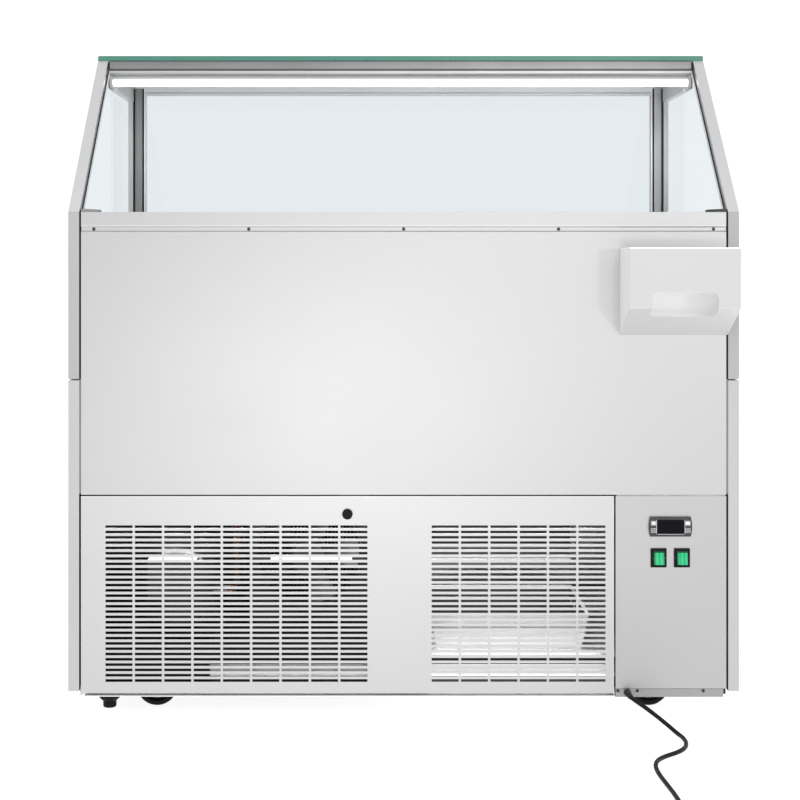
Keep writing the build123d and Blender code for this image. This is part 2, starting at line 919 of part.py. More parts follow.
# Machine bay: compressor, condenser with its fan, refrigerant lines, evaporation pan
def compressor():
    seam = shell_base + compressor_shell / 2
    crown = shell_base + compressor_shell
    radius = compressor_radius
    lip = radius + 2 * sheet
    foot = radius * 0.8
    dome_z = seam + radius / 3
    dome_radius = (radius**2 + (crown - dome_z) ** 2) / (2 * (crown - dome_z))
    dome_turn = math.atan2(crown - dome_z, radius)
    profile = make_face(
        [
            Line((0, shell_base), (foot, shell_base)),
            ThreePointArc(
                (foot, shell_base),
                (foot + (radius - foot) * 0.7, shell_base + (radius - foot) * 0.3),
                (radius, shell_base + radius - foot),
            ),
            Polyline(
                (radius, shell_base + radius - foot),
                (radius, seam),
                (lip, seam),
                (lip, seam + 3 * sheet),
                (radius, seam + 3 * sheet),
                (radius, dome_z),
            ),
            ThreePointArc(
                (radius, dome_z),
                (dome_radius * math.sin(dome_turn), crown - dome_radius * (1 - math.cos(dome_turn))),
                (0, crown),
            ),
            Line((0, crown), (0, shell_base)),
        ]
    )
    shell = Pos(compressor_x, compressor_y, 0) * revolve(Plane.XZ * profile, axis=Axis.Z)
    plate = along_z(
        Pos(compressor_x, compressor_y) * RectangleRounded(2.4 * radius, 2 * radius, foot_radius),
        compressor_base,
        shell_base,
    )
    box_z = shell_base + compressor_shell / 3
    terminal = span(
        (compressor_x - 0.6 * radius, compressor_x + 0.6 * radius),
        (compressor_y - 1.35 * radius, compressor_y - 0.7 * radius),
        (box_z, box_z + radius),
    )
    unit = shell + plate + terminal
    for side in (-1, 1):
        unit += rod_x(
            line_radius + sheet,
            compressor_x + 0.8 * radius,
            compressor_x + radius + line_stub,
            compressor_y + side * line_offset,
            box_z,
        )
    return unit


def compressor_feet():
    profile = outline(
        (0, floor_top),
        (foot_radius, floor_top),
        (foot_radius, floor_top + foot_height * 0.35),
        (foot_radius * 0.75, floor_top + foot_height * 0.5),
        (foot_radius, floor_top + foot_height * 0.65),
        (foot_radius, compressor_base),
        (0, compressor_base),
    )
    grommet = revolve(Plane.XZ * profile, axis=Axis.Z)
    spread_x = 1.2 * compressor_radius - foot_radius
    spread_y = compressor_radius - foot_radius
    return [
        Pos(compressor_x + sx * spread_x, compressor_y + sy * spread_y, 0) * grommet
        for sx in (-1, 1)
        for sy in (-1, 1)
    ]


def condenser():
    depth = (condenser_y0, condenser_y1)
    plate = span((condenser_x0, condenser_x0 + end_plate), depth, (floor_top, condenser_top))
    coil = plate + Pos(condenser_width - end_plate, 0, 0) * plate
    margin = condenser_depth / 6
    pitch = (condenser_width - 2 * end_plate) / (fin_count + 1)
    first_x = condenser_x0 + end_plate - fin_sheet / 2
    fin = span((first_x, first_x + fin_sheet), depth, (floor_top + margin, condenser_top - margin))
    fins = [Pos(index * pitch, 0, 0) * fin for index in range(1, fin_count + 1)]
    row_pitch = condenser_height / condenser_rows
    tubes = [
        rod_x(
            condenser_tube / 2,
            condenser_x0,
            condenser_x1,
            (condenser_y0 + condenser_y1) / 2,
            floor_top + (row + 0.5) * row_pitch,
        )
        for row in range(condenser_rows)
    ]
    return coil + tubes + fins


def fan_shroud():
    ring_inner = fan_radius + fan_ring_gap
    ring_outer = ring_inner + end_plate
    center = Pos(fan_x, fan_z)
    plate = outline(
        (condenser_x0, floor_top),
        (condenser_x1, floor_top),
        (condenser_x1, condenser_top),
        (condenser_x0, condenser_top),
    )
    hole = center * Circle(ring_inner)
    shroud = along_y(plate - hole, condenser_y0 - end_plate, condenser_y0)
    ring_y = condenser_y0 - fan_ring_depth
    shroud += along_y(center * Circle(ring_outer) - hole, ring_y, condenser_y0)
    arm = 4 * end_plate
    spoke = Pos(ring_outer / 2, 0) * Rectangle(ring_outer, arm)
    spider = [Rot(0, 0, 90 + 120 * index) * spoke for index in range(3)]
    bracket = center * (Circle(motor_radius + end_plate) + spider)
    bracket -= center * Circle(motor_radius - 2 * end_plate)
    shroud += along_y(bracket, ring_y - end_plate, ring_y)
    leg_x = ring_outer + end_plate
    guard_x = leg_x + end_plate
    guard_y = motor_front_y() - motor_depth - guard_gap
    guard_z = (fan_z, fan_z + guard_height)
    leg = span((-guard_x, -leg_x), (guard_y, condenser_y0), guard_z)
    bar = span((-guard_x, guard_x), (guard_y - end_plate, guard_y), guard_z)
    return shroud + Pos(fan_x, 0, 0) * (bar + leg + twin(leg))


def motor_front_y():
    return condenser_y0 - fan_ring_depth - end_plate


def fan_motor():
    back = motor_front_y()
    can = rod_y(motor_radius, fan_x, back - motor_depth, back, fan_z)
    can = fillet(can.edges().filter_by(GeomType.CIRCLE).group_by(Axis.Y)[0], radius=motor_radius / 4)
    boss_radius = motor_radius - 2 * end_plate - contact_gap
    can += rod_y(boss_radius, fan_x, back, back + end_plate, fan_z)
    return can - rod_y(motor_shaft + shaft_fit, fan_x, back - motor_depth / 2, back + end_plate, fan_z)


def fan_blade():
    hub_y0 = motor_front_y() + end_plate + motor_gap
    hub_y1 = hub_y0 + fan_hub_depth
    hub = rod_y(fan_hub_radius, fan_x, hub_y0, hub_y1, fan_z)
    hub = fillet(hub.edges().filter_by(GeomType.CIRCLE).group_by(Axis.Y)[-1], radius=fan_hub_depth / 4)
    hub += rod_y(motor_shaft, fan_x, hub_y0 - motor_gap - motor_depth / 3, hub_y0, fan_z)
    root = Plane(origin=(fan_hub_radius * 0.8, 0, 0), x_dir=(0, 1, 0), z_dir=(1, 0, 0))
    tip = Plane(origin=(fan_radius, 0, 0), x_dir=(0, 1, 0), z_dir=(1, 0, 0))
    root_face = root * Rot(0, 0, 38) * Rectangle(fan_hub_depth, fan_blade_sheet)
    tip_face = tip * Rot(0, 0, 66) * Rectangle(2.6 * fan_hub_depth, fan_blade_sheet)
    blade = loft([root_face, tip_face], ruled=True)
    center = Pos(fan_x, (hub_y0 + hub_y1) / 2, fan_z)
    blades = [center * Rot(0, 360 / fan_blades * index, 0) * blade for index in range(fan_blades)]
    wheel = hub + blades
    limit = rod_y(fan_radius, fan_x, hub_y0 - motor_depth, hub_y1 + fan_hub_depth, fan_z)
    return wheel & limit


def refrigerant_lines():
    stub_x = compressor_x + compressor_radius + line_stub
    port_z = shell_base + compressor_shell / 3
    rise_x = condenser_x0 - line_rise
    bend = 2 * line_radius
    condenser_y = (condenser_y0 + condenser_y1) / 2
    inlet_z = condenser_top - condenser_height / 8
    outlet_z = floor_top + condenser_height / 8
    discharge_y = compressor_y + line_offset
    suction_y = compressor_y - line_offset
    liquid_y = condenser_y + 4 * line_radius
    discharge = pipe(
        [
            (stub_x, discharge_y, port_z),
            (rise_x, discharge_y, port_z),
            (rise_x, discharge_y, inlet_z),
            (rise_x, condenser_y, inlet_z),
            (condenser_x0, condenser_y, inlet_z),
        ],
        bend,
        line_radius,
    )
    suction = pipe(
        [(stub_x, suction_y, port_z), (rise_x, suction_y, port_z), (rise_x, suction_y, bay_ceiling)],
        bend,
        line_radius,
    )
    liquid = pipe(
        [(condenser_x0, liquid_y, outlet_z), (rise_x, liquid_y, outlet_z), (rise_x, liquid_y, bay_ceiling)],
        bend,
        line_radius,
    )
    drier_z = (outlet_z + inlet_z) / 2
    liquid += rod_z(drier_radius, rise_x, liquid_y, drier_z - drier_length / 2, drier_z + drier_length / 2)
    return [discharge, suction, liquid]


def bay_right_x0():
    return grille_x1 - grille_right_margin - grille_right_field


def evaporation_pan():
    x = bay_right_x0() + evaporation_pan_width / 2
    y = service_y + evaporation_pan_inset + evaporation_pan_depth / 2
    wall = evaporation_pan_wall
    margin = evaporation_pan_margin
    outer = Rectangle(evaporation_pan_width - margin, evaporation_pan_depth - margin)
    rim = Rectangle(evaporation_pan_width, evaporation_pan_depth)
    base = Pos(x, y, floor_top)
    top = Pos(x, y, floor_top + evaporation_pan_height)
    shell = loft([base * outer, top * rim], ruled=True)
    inner_base = Pos(x, y, floor_top + wall) * offset(outer, amount=-wall, kind=Kind.INTERSECTION)
    inner_top = top * offset(rim, amount=-wall, kind=Kind.INTERSECTION)
    return shell - loft([inner_base, inner_top], ruled=True)


def air_baffle():
    y = service_y + baffle_setback
    shelf_top = bay_ceiling - baffle_shelf_top
    shelf_bottom = shelf_top - baffle_shelf_height
    section = fold(
        [
            (y + baffle_shelf, bay_ceiling),
            (y, bay_ceiling),
            (y, shelf_top),
            (y - baffle_shelf, shelf_top),
            (y - baffle_shelf, shelf_bottom),
            (y, shelf_bottom),
            (y, bay_ceiling - baffle_drop),
        ],
        sheet,
        Side.LEFT,
    )
    x0 = bay_right_x0()
    return along_x(section, x0, x0 + evaporation_pan_width)


# Casters: plate with its kingpin, swivelling fork with its axle, wheel
def caster_places():
    """Name, pivot centre and the side to which the wheel trails, for each caster."""
    x = inner_x - caster_inset_x
    rear = service_y + caster_inset_y
    front = front_y - caster_inset_y
    return [
        ("rear_left", -x, rear, -1),
        ("rear_right", x, rear, 1),
        ("front_left", -x, front, -1),
        ("front_right", x, front, 1),
    ]


def caster_plate(x, y):
    plate = along_z(
        Pos(x, y) * RectangleRounded(caster_plate_size, caster_plate_size, caster_plate_size / 8),
        plate_bottom,
        caster_height,
    )
    head_bottom = crown_bottom - caster_plate_sheet
    plate += rod_z(kingpin_radius, x, y, head_bottom, plate_bottom)
    return plate + rod_z(1.5 * kingpin_radius, x, y, head_bottom - contact_gap, crown_bottom - contact_gap)


def caster_fork(x, y, side):
    wheel_x = x + side * wheel_trail
    leg_y = wheel_hub_width / 2 + fork_gap
    outer_y = leg_y + fork_sheet
    reach = bearing_radius + crown_sheet
    crown = along_z(
        Pos(x, y) * RectangleRounded(2 * reach, 2 * outer_y, fork_sheet), crown_bottom, crown_top
    )
    housing = Pos(x, y, crown_top) * extrude(
        Circle(bearing_radius), amount=plate_bottom - contact_gap - crown_top, taper=8
    )
    top = Pos(x, crown_top - crown_sheet / 2) * Rectangle(2 * reach, crown_sheet)
    eye = Pos(wheel_x, wheel_radius) * Circle(2 * axle_radius)
    leg = make_hull([*top.edges(), *eye.edges()])
    fork = crown + housing
    fork += along_y(leg, y - outer_y, y - leg_y)
    fork += along_y(leg, y + leg_y, y + outer_y)
    axle_end = outer_y + fork_sheet
    fork += rod_y(axle_radius, wheel_x, y - axle_end, y + axle_end, wheel_radius)
    for end in (-1, 1):
        fork += rod_y(
            1.6 * axle_radius, wheel_x, *sorted((y + end * outer_y, y + end * axle_end)), wheel_radius
        )
    return fork - rod_z(kingpin_radius + running_fit, x, y, crown_bottom, plate_bottom)


def caster_wheel(x, y, side):
    half = wheel_width / 2
    hub_half = wheel_hub_width / 2
    bevel = wheel_width / 8
    tread = wheel_radius - bevel
    rim = 0.78 * wheel_radius
    dish = 0.6 * half
    hub = 2.2 * axle_radius
    bore = axle_radius + running_fit
    right = [
        (bore, hub_half),
        (hub, hub_half),
        (hub + bevel, dish),
        (rim - bevel, dish),
        (rim, half),
        (tread, half),
        (wheel_radius, half - bevel),
    ]
    left = [(radius, -width) for radius, width in reversed(right)]
    wheel = revolve(outline(*right, *left), axis=Axis.Y)
    return Pos(x + side * wheel_trail, y, wheel_radius) * wheel


def drain_stub():
    flange_bottom = base_clearance - drain_flange_height
    flange = rod_z(drain_flange_radius, drain_x, drain_y, flange_bottom, base_clearance)
    flange = chamfer(flange.edges().sort_by(Axis.Z)[0], length=drain_flange_taper)
    stub = flange + rod_z(drain_stub_radius, drain_x, drain_y, drain_stub_bottom, flange_bottom)
    stub = fillet(stub.edges().sort_by(Axis.Z)[0], radius=drain_stub_radius / 4)
    return stub + rod_z(drain_riser_radius, drain_x, drain_y, base_clearance, caster_height)


def panel_screws():
    sill_z = sill_joint + (sill_top - sill_joint) / 10
    first = -(sill_screws - 1) / 2 * sill_screw_pitch
    places = [(first + index * sill_screw_pitch, service_y + sheet, sill_z) for index in range(sill_screws)]
    strip_z = base_clearance + control_strip - screw_radius - contact_gap
    strip_x = (control_x0 + strip_screw_inset, gland_x + strip_screw_gap, control_x1 - strip_screw_end)
    places += [(x, service_y, strip_z) for x in strip_x]
    screws = []
    for x, y, z in places:
        head = rod_y(screw_radius, x, y - screw_head, y, z)
        screws.append(fillet(head.edges().group_by(Axis.Y)[0], radius=screw_head / 2))
    return screws


# Supply cord: gland, free stretch, put-away coil and plug
def cord_gland():
    gland = rod_y(gland_radius, gland_x, service_y - gland_head, service_y, gland_height)
    gland = fillet(gland.edges().group_by(Axis.Y)[0], radius=gland_head / 4)
    return gland + rod_y(gland_neck_radius, gland_x, service_y, service_y + gland_head, gland_height)


gland_face_y = service_y - gland_head
coil_x = gland_x + coil_shift
coil_y = service_y - coil_reach
coil_start = (coil_x, coil_y + cord_diameter, cord_floor)
cord_route = [
    (gland_x, gland_face_y, gland_height),
    (gland_x, service_y - 26, gland_height),
    (gland_x + 8, service_y - 44, gland_height - 3),
    (gland_x + 23, service_y - 58, gland_height - 11),
    (gland_x + 41, service_y - 70, gland_height - 23),
    (gland_x + 57, service_y - 84, cord_floor + 8),
    (gland_x + 69, service_y - 103, cord_floor),
    (gland_x + 75, service_y - 130, cord_floor),
    (gland_x + 75, service_y - 160, cord_floor),
    (gland_x + 67, service_y - 189, cord_floor),
    (gland_x + 49, service_y - 213, cord_floor),
    (gland_x + 27, service_y - 231, cord_floor),
    (gland_x + 9, service_y - 253, cord_floor),
    (gland_x, service_y - 283, cord_floor),
    (gland_x - 1, service_y - 325, cord_floor),
    (gland_x + 3, service_y - 378, cord_floor),
    (gland_x + 7, service_y - 435, cord_floor),
    (gland_x + 7, service_y - 494, cord_floor),
    (gland_x + 4, service_y - 545, cord_floor),
    coil_start,
]


def route_radii(points):
    """Largest easy bend at each inner point of a cord's route."""
    vectors = [Vector(*b) - Vector(*a) for a, b in zip(points, points[1:])]
    radii = []
    for before, after in zip(vectors, vectors[1:]):
        half_turn = math.radians(before.get_angle(after)) / 2
        radii.append(0.45 * min(before.length, after.length) / math.tan(half_turn))
    return radii


def report_tube(name, solid, path):
    """Prints how a tube's volume compares with its section times its length."""
    expected = solid.volume / (math.pi * cord_radius**2 * path.length)
    print(name, "length", round(path.length, 1), "volume ratio", round(expected, 4))


def power_cord():
    radii = route_radii(cord_route)
    print("power_cord radii", [round(radius, 1) for radius in radii])
    path = FilletPolyline(*cord_route, radius=radii)
    tube = sweep(Plane(origin=path @ 0, z_dir=path % 0) * Circle(cord_radius), path=path)
    report_tube("power_cord", tube, path)
    return tube


def coil_path():
    """Half turns that spiral in on the floor, climb a layer, and spiral out again."""
    turns = []
    radius = coil_radius
    for _ in range(coil_half_turns_in):
        turns.append((radius, 0.0))
        radius -= coil_pitch / 2
    turns.append((radius, coil_layer))
    for _ in range(coil_half_turns_out):
        radius += coil_pitch / 2
        turns.append((radius, 0.0))
    point = Vector(coil_x, coil_y, cord_floor)
    edges = [Line(coil_start, point)]
    side = 1
    for radius, climb in turns:
        end = point + Vector(2 * side * radius, 0, climb)
        middle = (point + end) * 0.5 + Vector(0, -side * (end - point).length / 2, 0)
        edges.append(ThreePointArc(point, middle, end))
        point = end
        side = -side
    tail = point + Vector(0, -coil_tail, 0)
    edges.append(Line(point, tail))
    return Wire(edges), tail


def coil_gap(path):
    """Least clear distance between neighbouring turns, on points along the path."""
    count = int(path.length / 3)
    points = [path @ (index / count) for index in range(count + 1)]
    apart = int(4 * cord_diameter / 3)
    least = min(
        (points[a] - points[b]).length
        for a in range(count + 1)
        for b in range(a + apart, count + 1)
    )
    return least - cord_diameter


def cord_coil():
    path, _ = coil_path()
    print("cord_coil least gap", round(coil_gap(path), 2))
    section = Plane(origin=path @ 0, z_dir=path % 0) * Circle(cord_radius)
    tube = sweep(section, path=path)
    report_tube("cord_coil", tube, path)
    return tube


def plug():
    _, tail = coil_path()
    height = 2 * (tail.Z - cord_lift)
    place = Plane(origin=tail, x_dir=(1, 0, 0), z_dir=(0, -1, 0))
    relief = loft([place * Circle(cord_radius + sheet), place.offset(plug_relief) * Circle(height / 3)])
    body_plane = place.offset(plug_relief)
    body = extrude(body_plane * RectangleRounded(plug_width, height, plug_corner), amount=plug_length)
    solid = relief + fillet(body.edges().group_by(Axis.Y)[-1], radius=sheet)
    face = place.offset(plug_relief + plug_length)
    for side in (-1, 1):
        pin = face * Pos(side * plug_pin_pitch / 2, 0) * Circle(plug_pin_radius)
        solid += extrude(pin, amount=plug_pin_length)
    return solid


def pieces():
    """Every node's name with its solid or solids."""
    nodes = {
        "base_frame": base_frame(),
        "side_panel_right": side_panel(),
        "side_cover_right": side_cover(),
        "rear_panel": rear_panel(),
        "sill_cap": sill_cap(),
        "front_panel": front_panel(),
        "foam_body": foam_body(),
        "tub_liner": tub_liner(),
        "pan_rails": pan_rails(),
        "evaporator_coil": evaporator_coil(),
        "side_trims": [side_trim(), twin(side_trim())],
        "side_glass_right": side_glass(),
        "front_glass": front_glass(),
        "top_glass": top_glass(),
        "glass_gaskets": glass_gaskets(),
        "canopy_frame": canopy_frame(),
        "rear_top_rail": rear_top_rail(),
        "lamp_channel": lamp_channel(),
        "lamp_diffuser": lamp_diffuser(),
        "lamp_end_caps": lamp_end_caps(),
        "grille_panel": grille_panel(),
        "grille_latch": grille_latch(),
        "control_panel": control_panel(),
        "controller_housing": controller_housing(),
        "controller_window": controller_window(),
        "switch_bezels": switch_bezels(),
        "rocker_left": rocker(instrument_x - switch_pitch / 2),
        "rocker_right": rocker(instrument_x + switch_pitch / 2),
        "scoop_tray": scoop_tray(),
        "compressor": compressor(),
        "compressor_feet": compressor_feet(),
        "condenser": condenser(),
        "fan_shroud": fan_shroud(),
        "fan_motor": fan_motor(),
        "fan_blade": fan_blade(),
        "refrigerant_lines": refrigerant_lines(),
        "evaporation_pan": evaporation_pan(),
        "air_baffle": air_baffle(),
        "caster_plates": [caster_plate(x, y) for _, x, y, _ in caster_places()],
        "drain_stub": drain_stub(),
        "panel_screws": panel_screws(),
        "cord_gland": cord_gland(),
        "power_cord": power_cord(),
        "cord_coil": cord_coil(),
        "plug": plug(),
    }
    for name in ("side_panel", "side_cover", "side_glass"):
        nodes[f"{name}_left"] = twin(nodes[f"{name}_right"])
    for name, (x, z) in zip(("upper_left", "lower_left", "upper_right", "lower_right"), key_places()):
        nodes[f"key_{name}"] = controller_key(x, z)
    for name, x, y, side in caster_places():
        nodes[f"caster_fork_{name}"] = caster_fork(x, y, side)
        nodes[f"caster_wheel_{name}"] = caster_wheel(x, y, side)
    return nodes


def main():
    os.makedirs("parts", exist_ok=True)
    for name, shape in pieces().items():
        solids = shape if isinstance(shape, list) else [shape]
        node = Compound(label=name, children=[solid for item in solids for solid in item.solids()])
        export_step(node, f"parts/{name}.step")


if __name__ == "__main__":
    main()
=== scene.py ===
import math

import bmesh
import bpy
from bpy.props import FloatProperty, FloatVectorProperty, PointerProperty
from mathutils import Matrix, Vector


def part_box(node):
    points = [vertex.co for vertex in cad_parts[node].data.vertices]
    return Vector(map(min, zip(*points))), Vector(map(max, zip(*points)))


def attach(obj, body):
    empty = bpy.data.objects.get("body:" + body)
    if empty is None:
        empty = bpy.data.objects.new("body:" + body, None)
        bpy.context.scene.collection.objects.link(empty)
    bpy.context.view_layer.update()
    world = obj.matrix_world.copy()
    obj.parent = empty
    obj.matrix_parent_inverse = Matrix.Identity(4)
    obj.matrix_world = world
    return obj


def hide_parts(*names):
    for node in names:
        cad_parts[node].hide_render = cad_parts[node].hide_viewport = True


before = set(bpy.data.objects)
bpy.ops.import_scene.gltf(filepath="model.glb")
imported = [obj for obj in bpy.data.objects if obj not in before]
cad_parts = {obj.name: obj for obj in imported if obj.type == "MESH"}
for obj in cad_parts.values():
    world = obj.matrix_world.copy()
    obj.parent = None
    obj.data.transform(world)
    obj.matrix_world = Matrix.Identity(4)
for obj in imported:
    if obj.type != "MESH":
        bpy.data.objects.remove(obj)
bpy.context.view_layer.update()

bl_info = {
    "name": "Ice cream display freezer",
    "version": (1, 0, 0),
    "blender": (4, 5, 0),
    "location": "View3D > Sidebar > Freezer",
    "description": "Finishes, glass, fittings and supply cord around the packed freezer",
    "category": "Object",
}

CABINET = "cabinet"
X, Y, Z = Vector((1, 0, 0)), Vector((0, 1, 0)), Vector((0, 0, 1))

SAME_POINT = 0.00001  # Points closer than this are one
HAIR = 0.0001  # Softness of a painted edge
SHARP = math.radians(35)  # An edge that turns further than this is sharp
BAY_MIDDLE = 0.011  # Across, the upright between the grille's two fields of slots
GRILLE_END = 0.37725  # Across, the grille panel's right end

# Grain of drawn and brushed metal, in waves per metre along each axis
BRUSHED_ALONG_X, BRUSHED_ALONG_Y = (5, 2400, 2400), (2400, 5, 2400)
DRAWN_ALONG_X, DRAWN_UPRIGHT = (3, 700, 700), (500, 500, 3)
PAINTED_BAY_SHADE = (0.02, 0.02, 0.021)  # Black painted shade on the machine bay's inner faces and joints


def length_value(label, text, default):
    """Setting for a length in metres."""
    return FloatProperty(
        name=label, description=text, default=default, min=0.0, unit="LENGTH", precision=5
    )


def share_value(label, text, default):
    """Setting for a plain number from nought upward."""
    return FloatProperty(name=label, description=text, default=default, min=0.0)


def colour_value(label, text, default):
    """Setting for a linear colour."""
    return FloatVectorProperty(
        name=label, description=text, default=default, subtype="COLOR", min=0.0, max=1.0
    )


class FreezerStageSettings(bpy.types.PropertyGroup):
    """Camera, floor and lights."""

    camera_place: FloatVectorProperty(
        name="Camera",
        description="Where the camera stands",
        default=(-0.0566, -3.1725, 0.8277),
        subtype="TRANSLATION",
    )
    lens: FloatProperty(
        name="Lens", description="Focal length", default=73.0, min=10.0, unit="CAMERA"
    )
    shift: FloatVectorProperty(
        name="Shift", description="Camera shift", size=2, default=(0.035, -0.181)
    )
    sky: share_value("Sky", "Brightness of the white surroundings", 1.12)
    key_power: share_value("Key light", "Watts of the low light behind the camera", 13.2)
    high_power: share_value("High light", "Watts of the light above the camera, at the right", 18.5)
    side_power: share_value("Side light", "Watts of the light from the right", 5.0)
    pool_power: share_value("Floor light", "Watts of the light over the floor in front", 24.0)
    bay_power: share_value("Bay light", "Watts of the hidden light behind the grille's top", 2.7)
    lip_power: share_value("Lip light", "Watts of the hidden light behind the right slots", 0.08)
    floor_size: length_value("Floor", "Side of the square floor", 400.0)
    floor_colour: colour_value("Floor colour", "Colour of the floor", (0.35, 0.35, 0.35))
    floor_glow: share_value("Floor glow", "How far the floor lights itself", 0.9)


class FreezerFinishSettings(bpy.types.PropertyGroup):
    """Colours of the finishes."""

    steel: colour_value("Steel", "Brushed stainless sheet", (0.435, 0.435, 0.437))
    control_steel: colour_value("Control panel", "Its brushed sheet", (0.402, 0.402, 0.404))
    side_sheet: colour_value("Side panels", "Coated side panels", (0.405, 0.405, 0.407))
    side_cover: colour_value("Side covers", "Coated upper covers", (0.335, 0.335, 0.337))
    zinc: colour_value("Zinc", "Zinc-coated base sheet", (0.305, 0.308, 0.312))
    aluminium: colour_value("Aluminium", "Extruded rails and posts", (0.25, 0.25, 0.252))
    glass_tint: colour_value("Glass", "Tint of a pane seen square on", (0.70, 0.742, 0.765))
    glass_edge: colour_value("Glass edge", "Ground edges of the panes", (0.046, 0.180, 0.134))
    rocker: colour_value("Rockers", "Lit switch rockers", (0.002, 0.045, 0.015))
    rocker_glow: share_value("Rocker glow", "How bright the rockers are lit", 1.0)
    lamp_glow: share_value("Lamp glow", "How bright the lamp's diffuser is", 1.6)
    black: colour_value("Black plastic", "Mouldings", (0.004, 0.004, 0.0045))
    cord: colour_value("Cord", "Sheath of the supply cord", (0.004, 0.004, 0.0045))


class FreezerSizeSettings(bpy.types.PropertyGroup):
    """Sizes of edges and of the cord."""

    sheet_edge: length_value("Sheet edge", "Rounding of folded sheet", 0.0006)
    side_edge: length_value("Side edge", "Rounding of the thick side panels", 0.0014)
    arris: length_value("Glass arris", "Ground corner of the panes", 0.0009)
    cord_diameter: length_value("Cord diameter", "Outside of the sheath", 0.0075)
    cord_length: length_value("Cord length", "From the gland to the plug", 2.05)


def settings(context):
    """The scene's stage, finish and size settings."""
    scene = context.scene
    return scene.freezer_stage, scene.freezer_finish, scene.freezer_size


# Nodes: constants stand on the shader's own sockets, and only what varies is linked


def new_finish(name, colour, roughness, metallic=0.0, **sockets):
    """Material with one Principled shader; keywords name its sockets with underscores."""
    material = bpy.data.materials.new(name)
    material.use_nodes = True
    shader = shader_of(material)
    shader.inputs["Base Color"].default_value = (*colour, 1.0)
    shader.inputs["Roughness"].default_value = roughness
    shader.inputs["Metallic"].default_value = metallic
    for socket, value in sockets.items():
        shader.inputs[socket.replace("_", " ")].default_value = value
    return material


def shader_of(material):
    """The material's Principled shader."""
    return material.node_tree.nodes["Principled BSDF"]


def add_node(material, kind, **values):
    """New node with its properties and input values set."""
    made = material.node_tree.nodes.new(kind)
    for key, value in values.items():
        if hasattr(made, key):
            setattr(made, key, value)
        else:
            made.inputs[key].default_value = value
    return made


def join(material, source, target):
    """Links an output to an input."""
    material.node_tree.links.new(source, target)


def feed(material, inlet, value):
    """Links an output to an input, or sets a plain number there."""
    if isinstance(value, bpy.types.NodeSocket):
        join(material, value, inlet)
    else:
        inlet.default_value = value


def place_of(material, stretch=(1, 1, 1)):
    """Object coordinates in metres, stretched along the axes."""
    coordinates = add_node(material, "ShaderNodeTexCoord")
    mapping = add_node(material, "ShaderNodeMapping", Scale=stretch)
    join(material, coordinates.outputs["Object"], mapping.inputs["Vector"])
    return mapping.outputs["Vector"]


def along(material, axis):
    """Object coordinate along one axis, in metres."""
    coordinates = add_node(material, "ShaderNodeTexCoord")
    parted = add_node(material, "ShaderNodeSeparateXYZ")
    join(material, coordinates.outputs["Object"], parted.inputs["Vector"])
    return parted.outputs[axis]


def noise(material, scale, stretch=(1, 1, 1), detail=3.0):
    """Grey noise; scale is in waves per metre."""
    made = add_node(material, "ShaderNodeTexNoise", Scale=scale, Detail=detail)
    join(material, place_of(material, stretch), made.inputs["Vector"])
    return made.outputs["Fac"]


def ranged(material, source, low, high, start=0.3, end=0.7):
    """Source spread over low to high."""
    made = add_node(material, "ShaderNodeMapRange")
    bounds = {"From Min": start, "From Max": end, "To Min": low, "To Max": high}
    for socket, value in bounds.items():
        made.inputs[socket].default_value = value
    join(material, source, made.inputs["Value"])
    return made.outputs["Result"]


def mixed(material, factor, first, second):
    """Colour between two, by a factor output; each is a colour or an output."""
    made = add_node(material, "ShaderNodeMix", data_type="RGBA")
    join(material, factor, made.inputs["Factor"])
    for socket, value in (("A", first), ("B", second)):
        inlet = next(i for i in made.inputs if i.name == socket and i.type == "RGBA")
        linked = isinstance(value, bpy.types.NodeSocket)
        feed(material, inlet, value if linked else (*value, 1.0))
    return next(o for o in made.outputs if o.type == "RGBA")


def reckoned(material, operation, *values):
    """Result of a sum on outputs or plain numbers."""
    made = add_node(material, "ShaderNodeMath", operation=operation)
    for inlet, value in zip(made.inputs, values):
        feed(material, inlet, value)
    return made.outputs["Value"]


def colour_from(material, output):
    """Lets an output give the shader's colour."""
    join(material, output, shader_of(material).inputs["Base Color"])


def roughness_from(material, output):
    """Lets an output give the shader's roughness."""
    join(material, output, shader_of(material).inputs["Roughness"])


def bump_from(material, output, depth, strength):
    """Fine relief of that depth in metres."""
    made = add_node(material, "ShaderNodeBump", Strength=strength, Distance=depth)
    join(material, output, made.inputs["Height"])
    join(material, made.outputs["Normal"], shader_of(material).inputs["Normal"])


# Masks are one where they hold and nought elsewhere; a source is an axis letter or an output


def source_of(material, source):
    """The output of a source."""
    return along(material, source) if isinstance(source, str) else source


def past(material, source, edge, soft=HAIR):
    """Mask of what lies past an edge."""
    return ranged(material, source_of(material, source), 0, 1, edge - soft, edge + soft)


def short_of(material, source, edge, soft=HAIR):
    """Mask of what lies before an edge."""
    return ranged(material, source_of(material, source), 1, 0, edge - soft, edge + soft)


def between(material, source, low, high):
    """Mask of what lies between two edges."""
    source, soft = source_of(material, source), 2 * HAIR
    return all_of(
        material, past(material, source, low, soft), short_of(material, source, high, soft)
    )


def all_of(material, mask, *others):
    """Mask of where all the masks hold."""
    for other in others:
        mask = reckoned(material, "MULTIPLY", mask, other)
    return mask


def apart_from(material, mask):
    """Mask of where another one doesn't hold."""
    return reckoned(material, "SUBTRACT", 1.0, mask)


def from_middle(material):
    """Distance from the cabinet's middle, to either side."""
    return reckoned(material, "ABSOLUTE", along(material, "X"))


def under_tub(material):
    """Mask of what lies lower than the insulated body."""
    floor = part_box("foam_body")[0].z
    return short_of(material, "Z", floor - 0.0005, soft=0.0005)


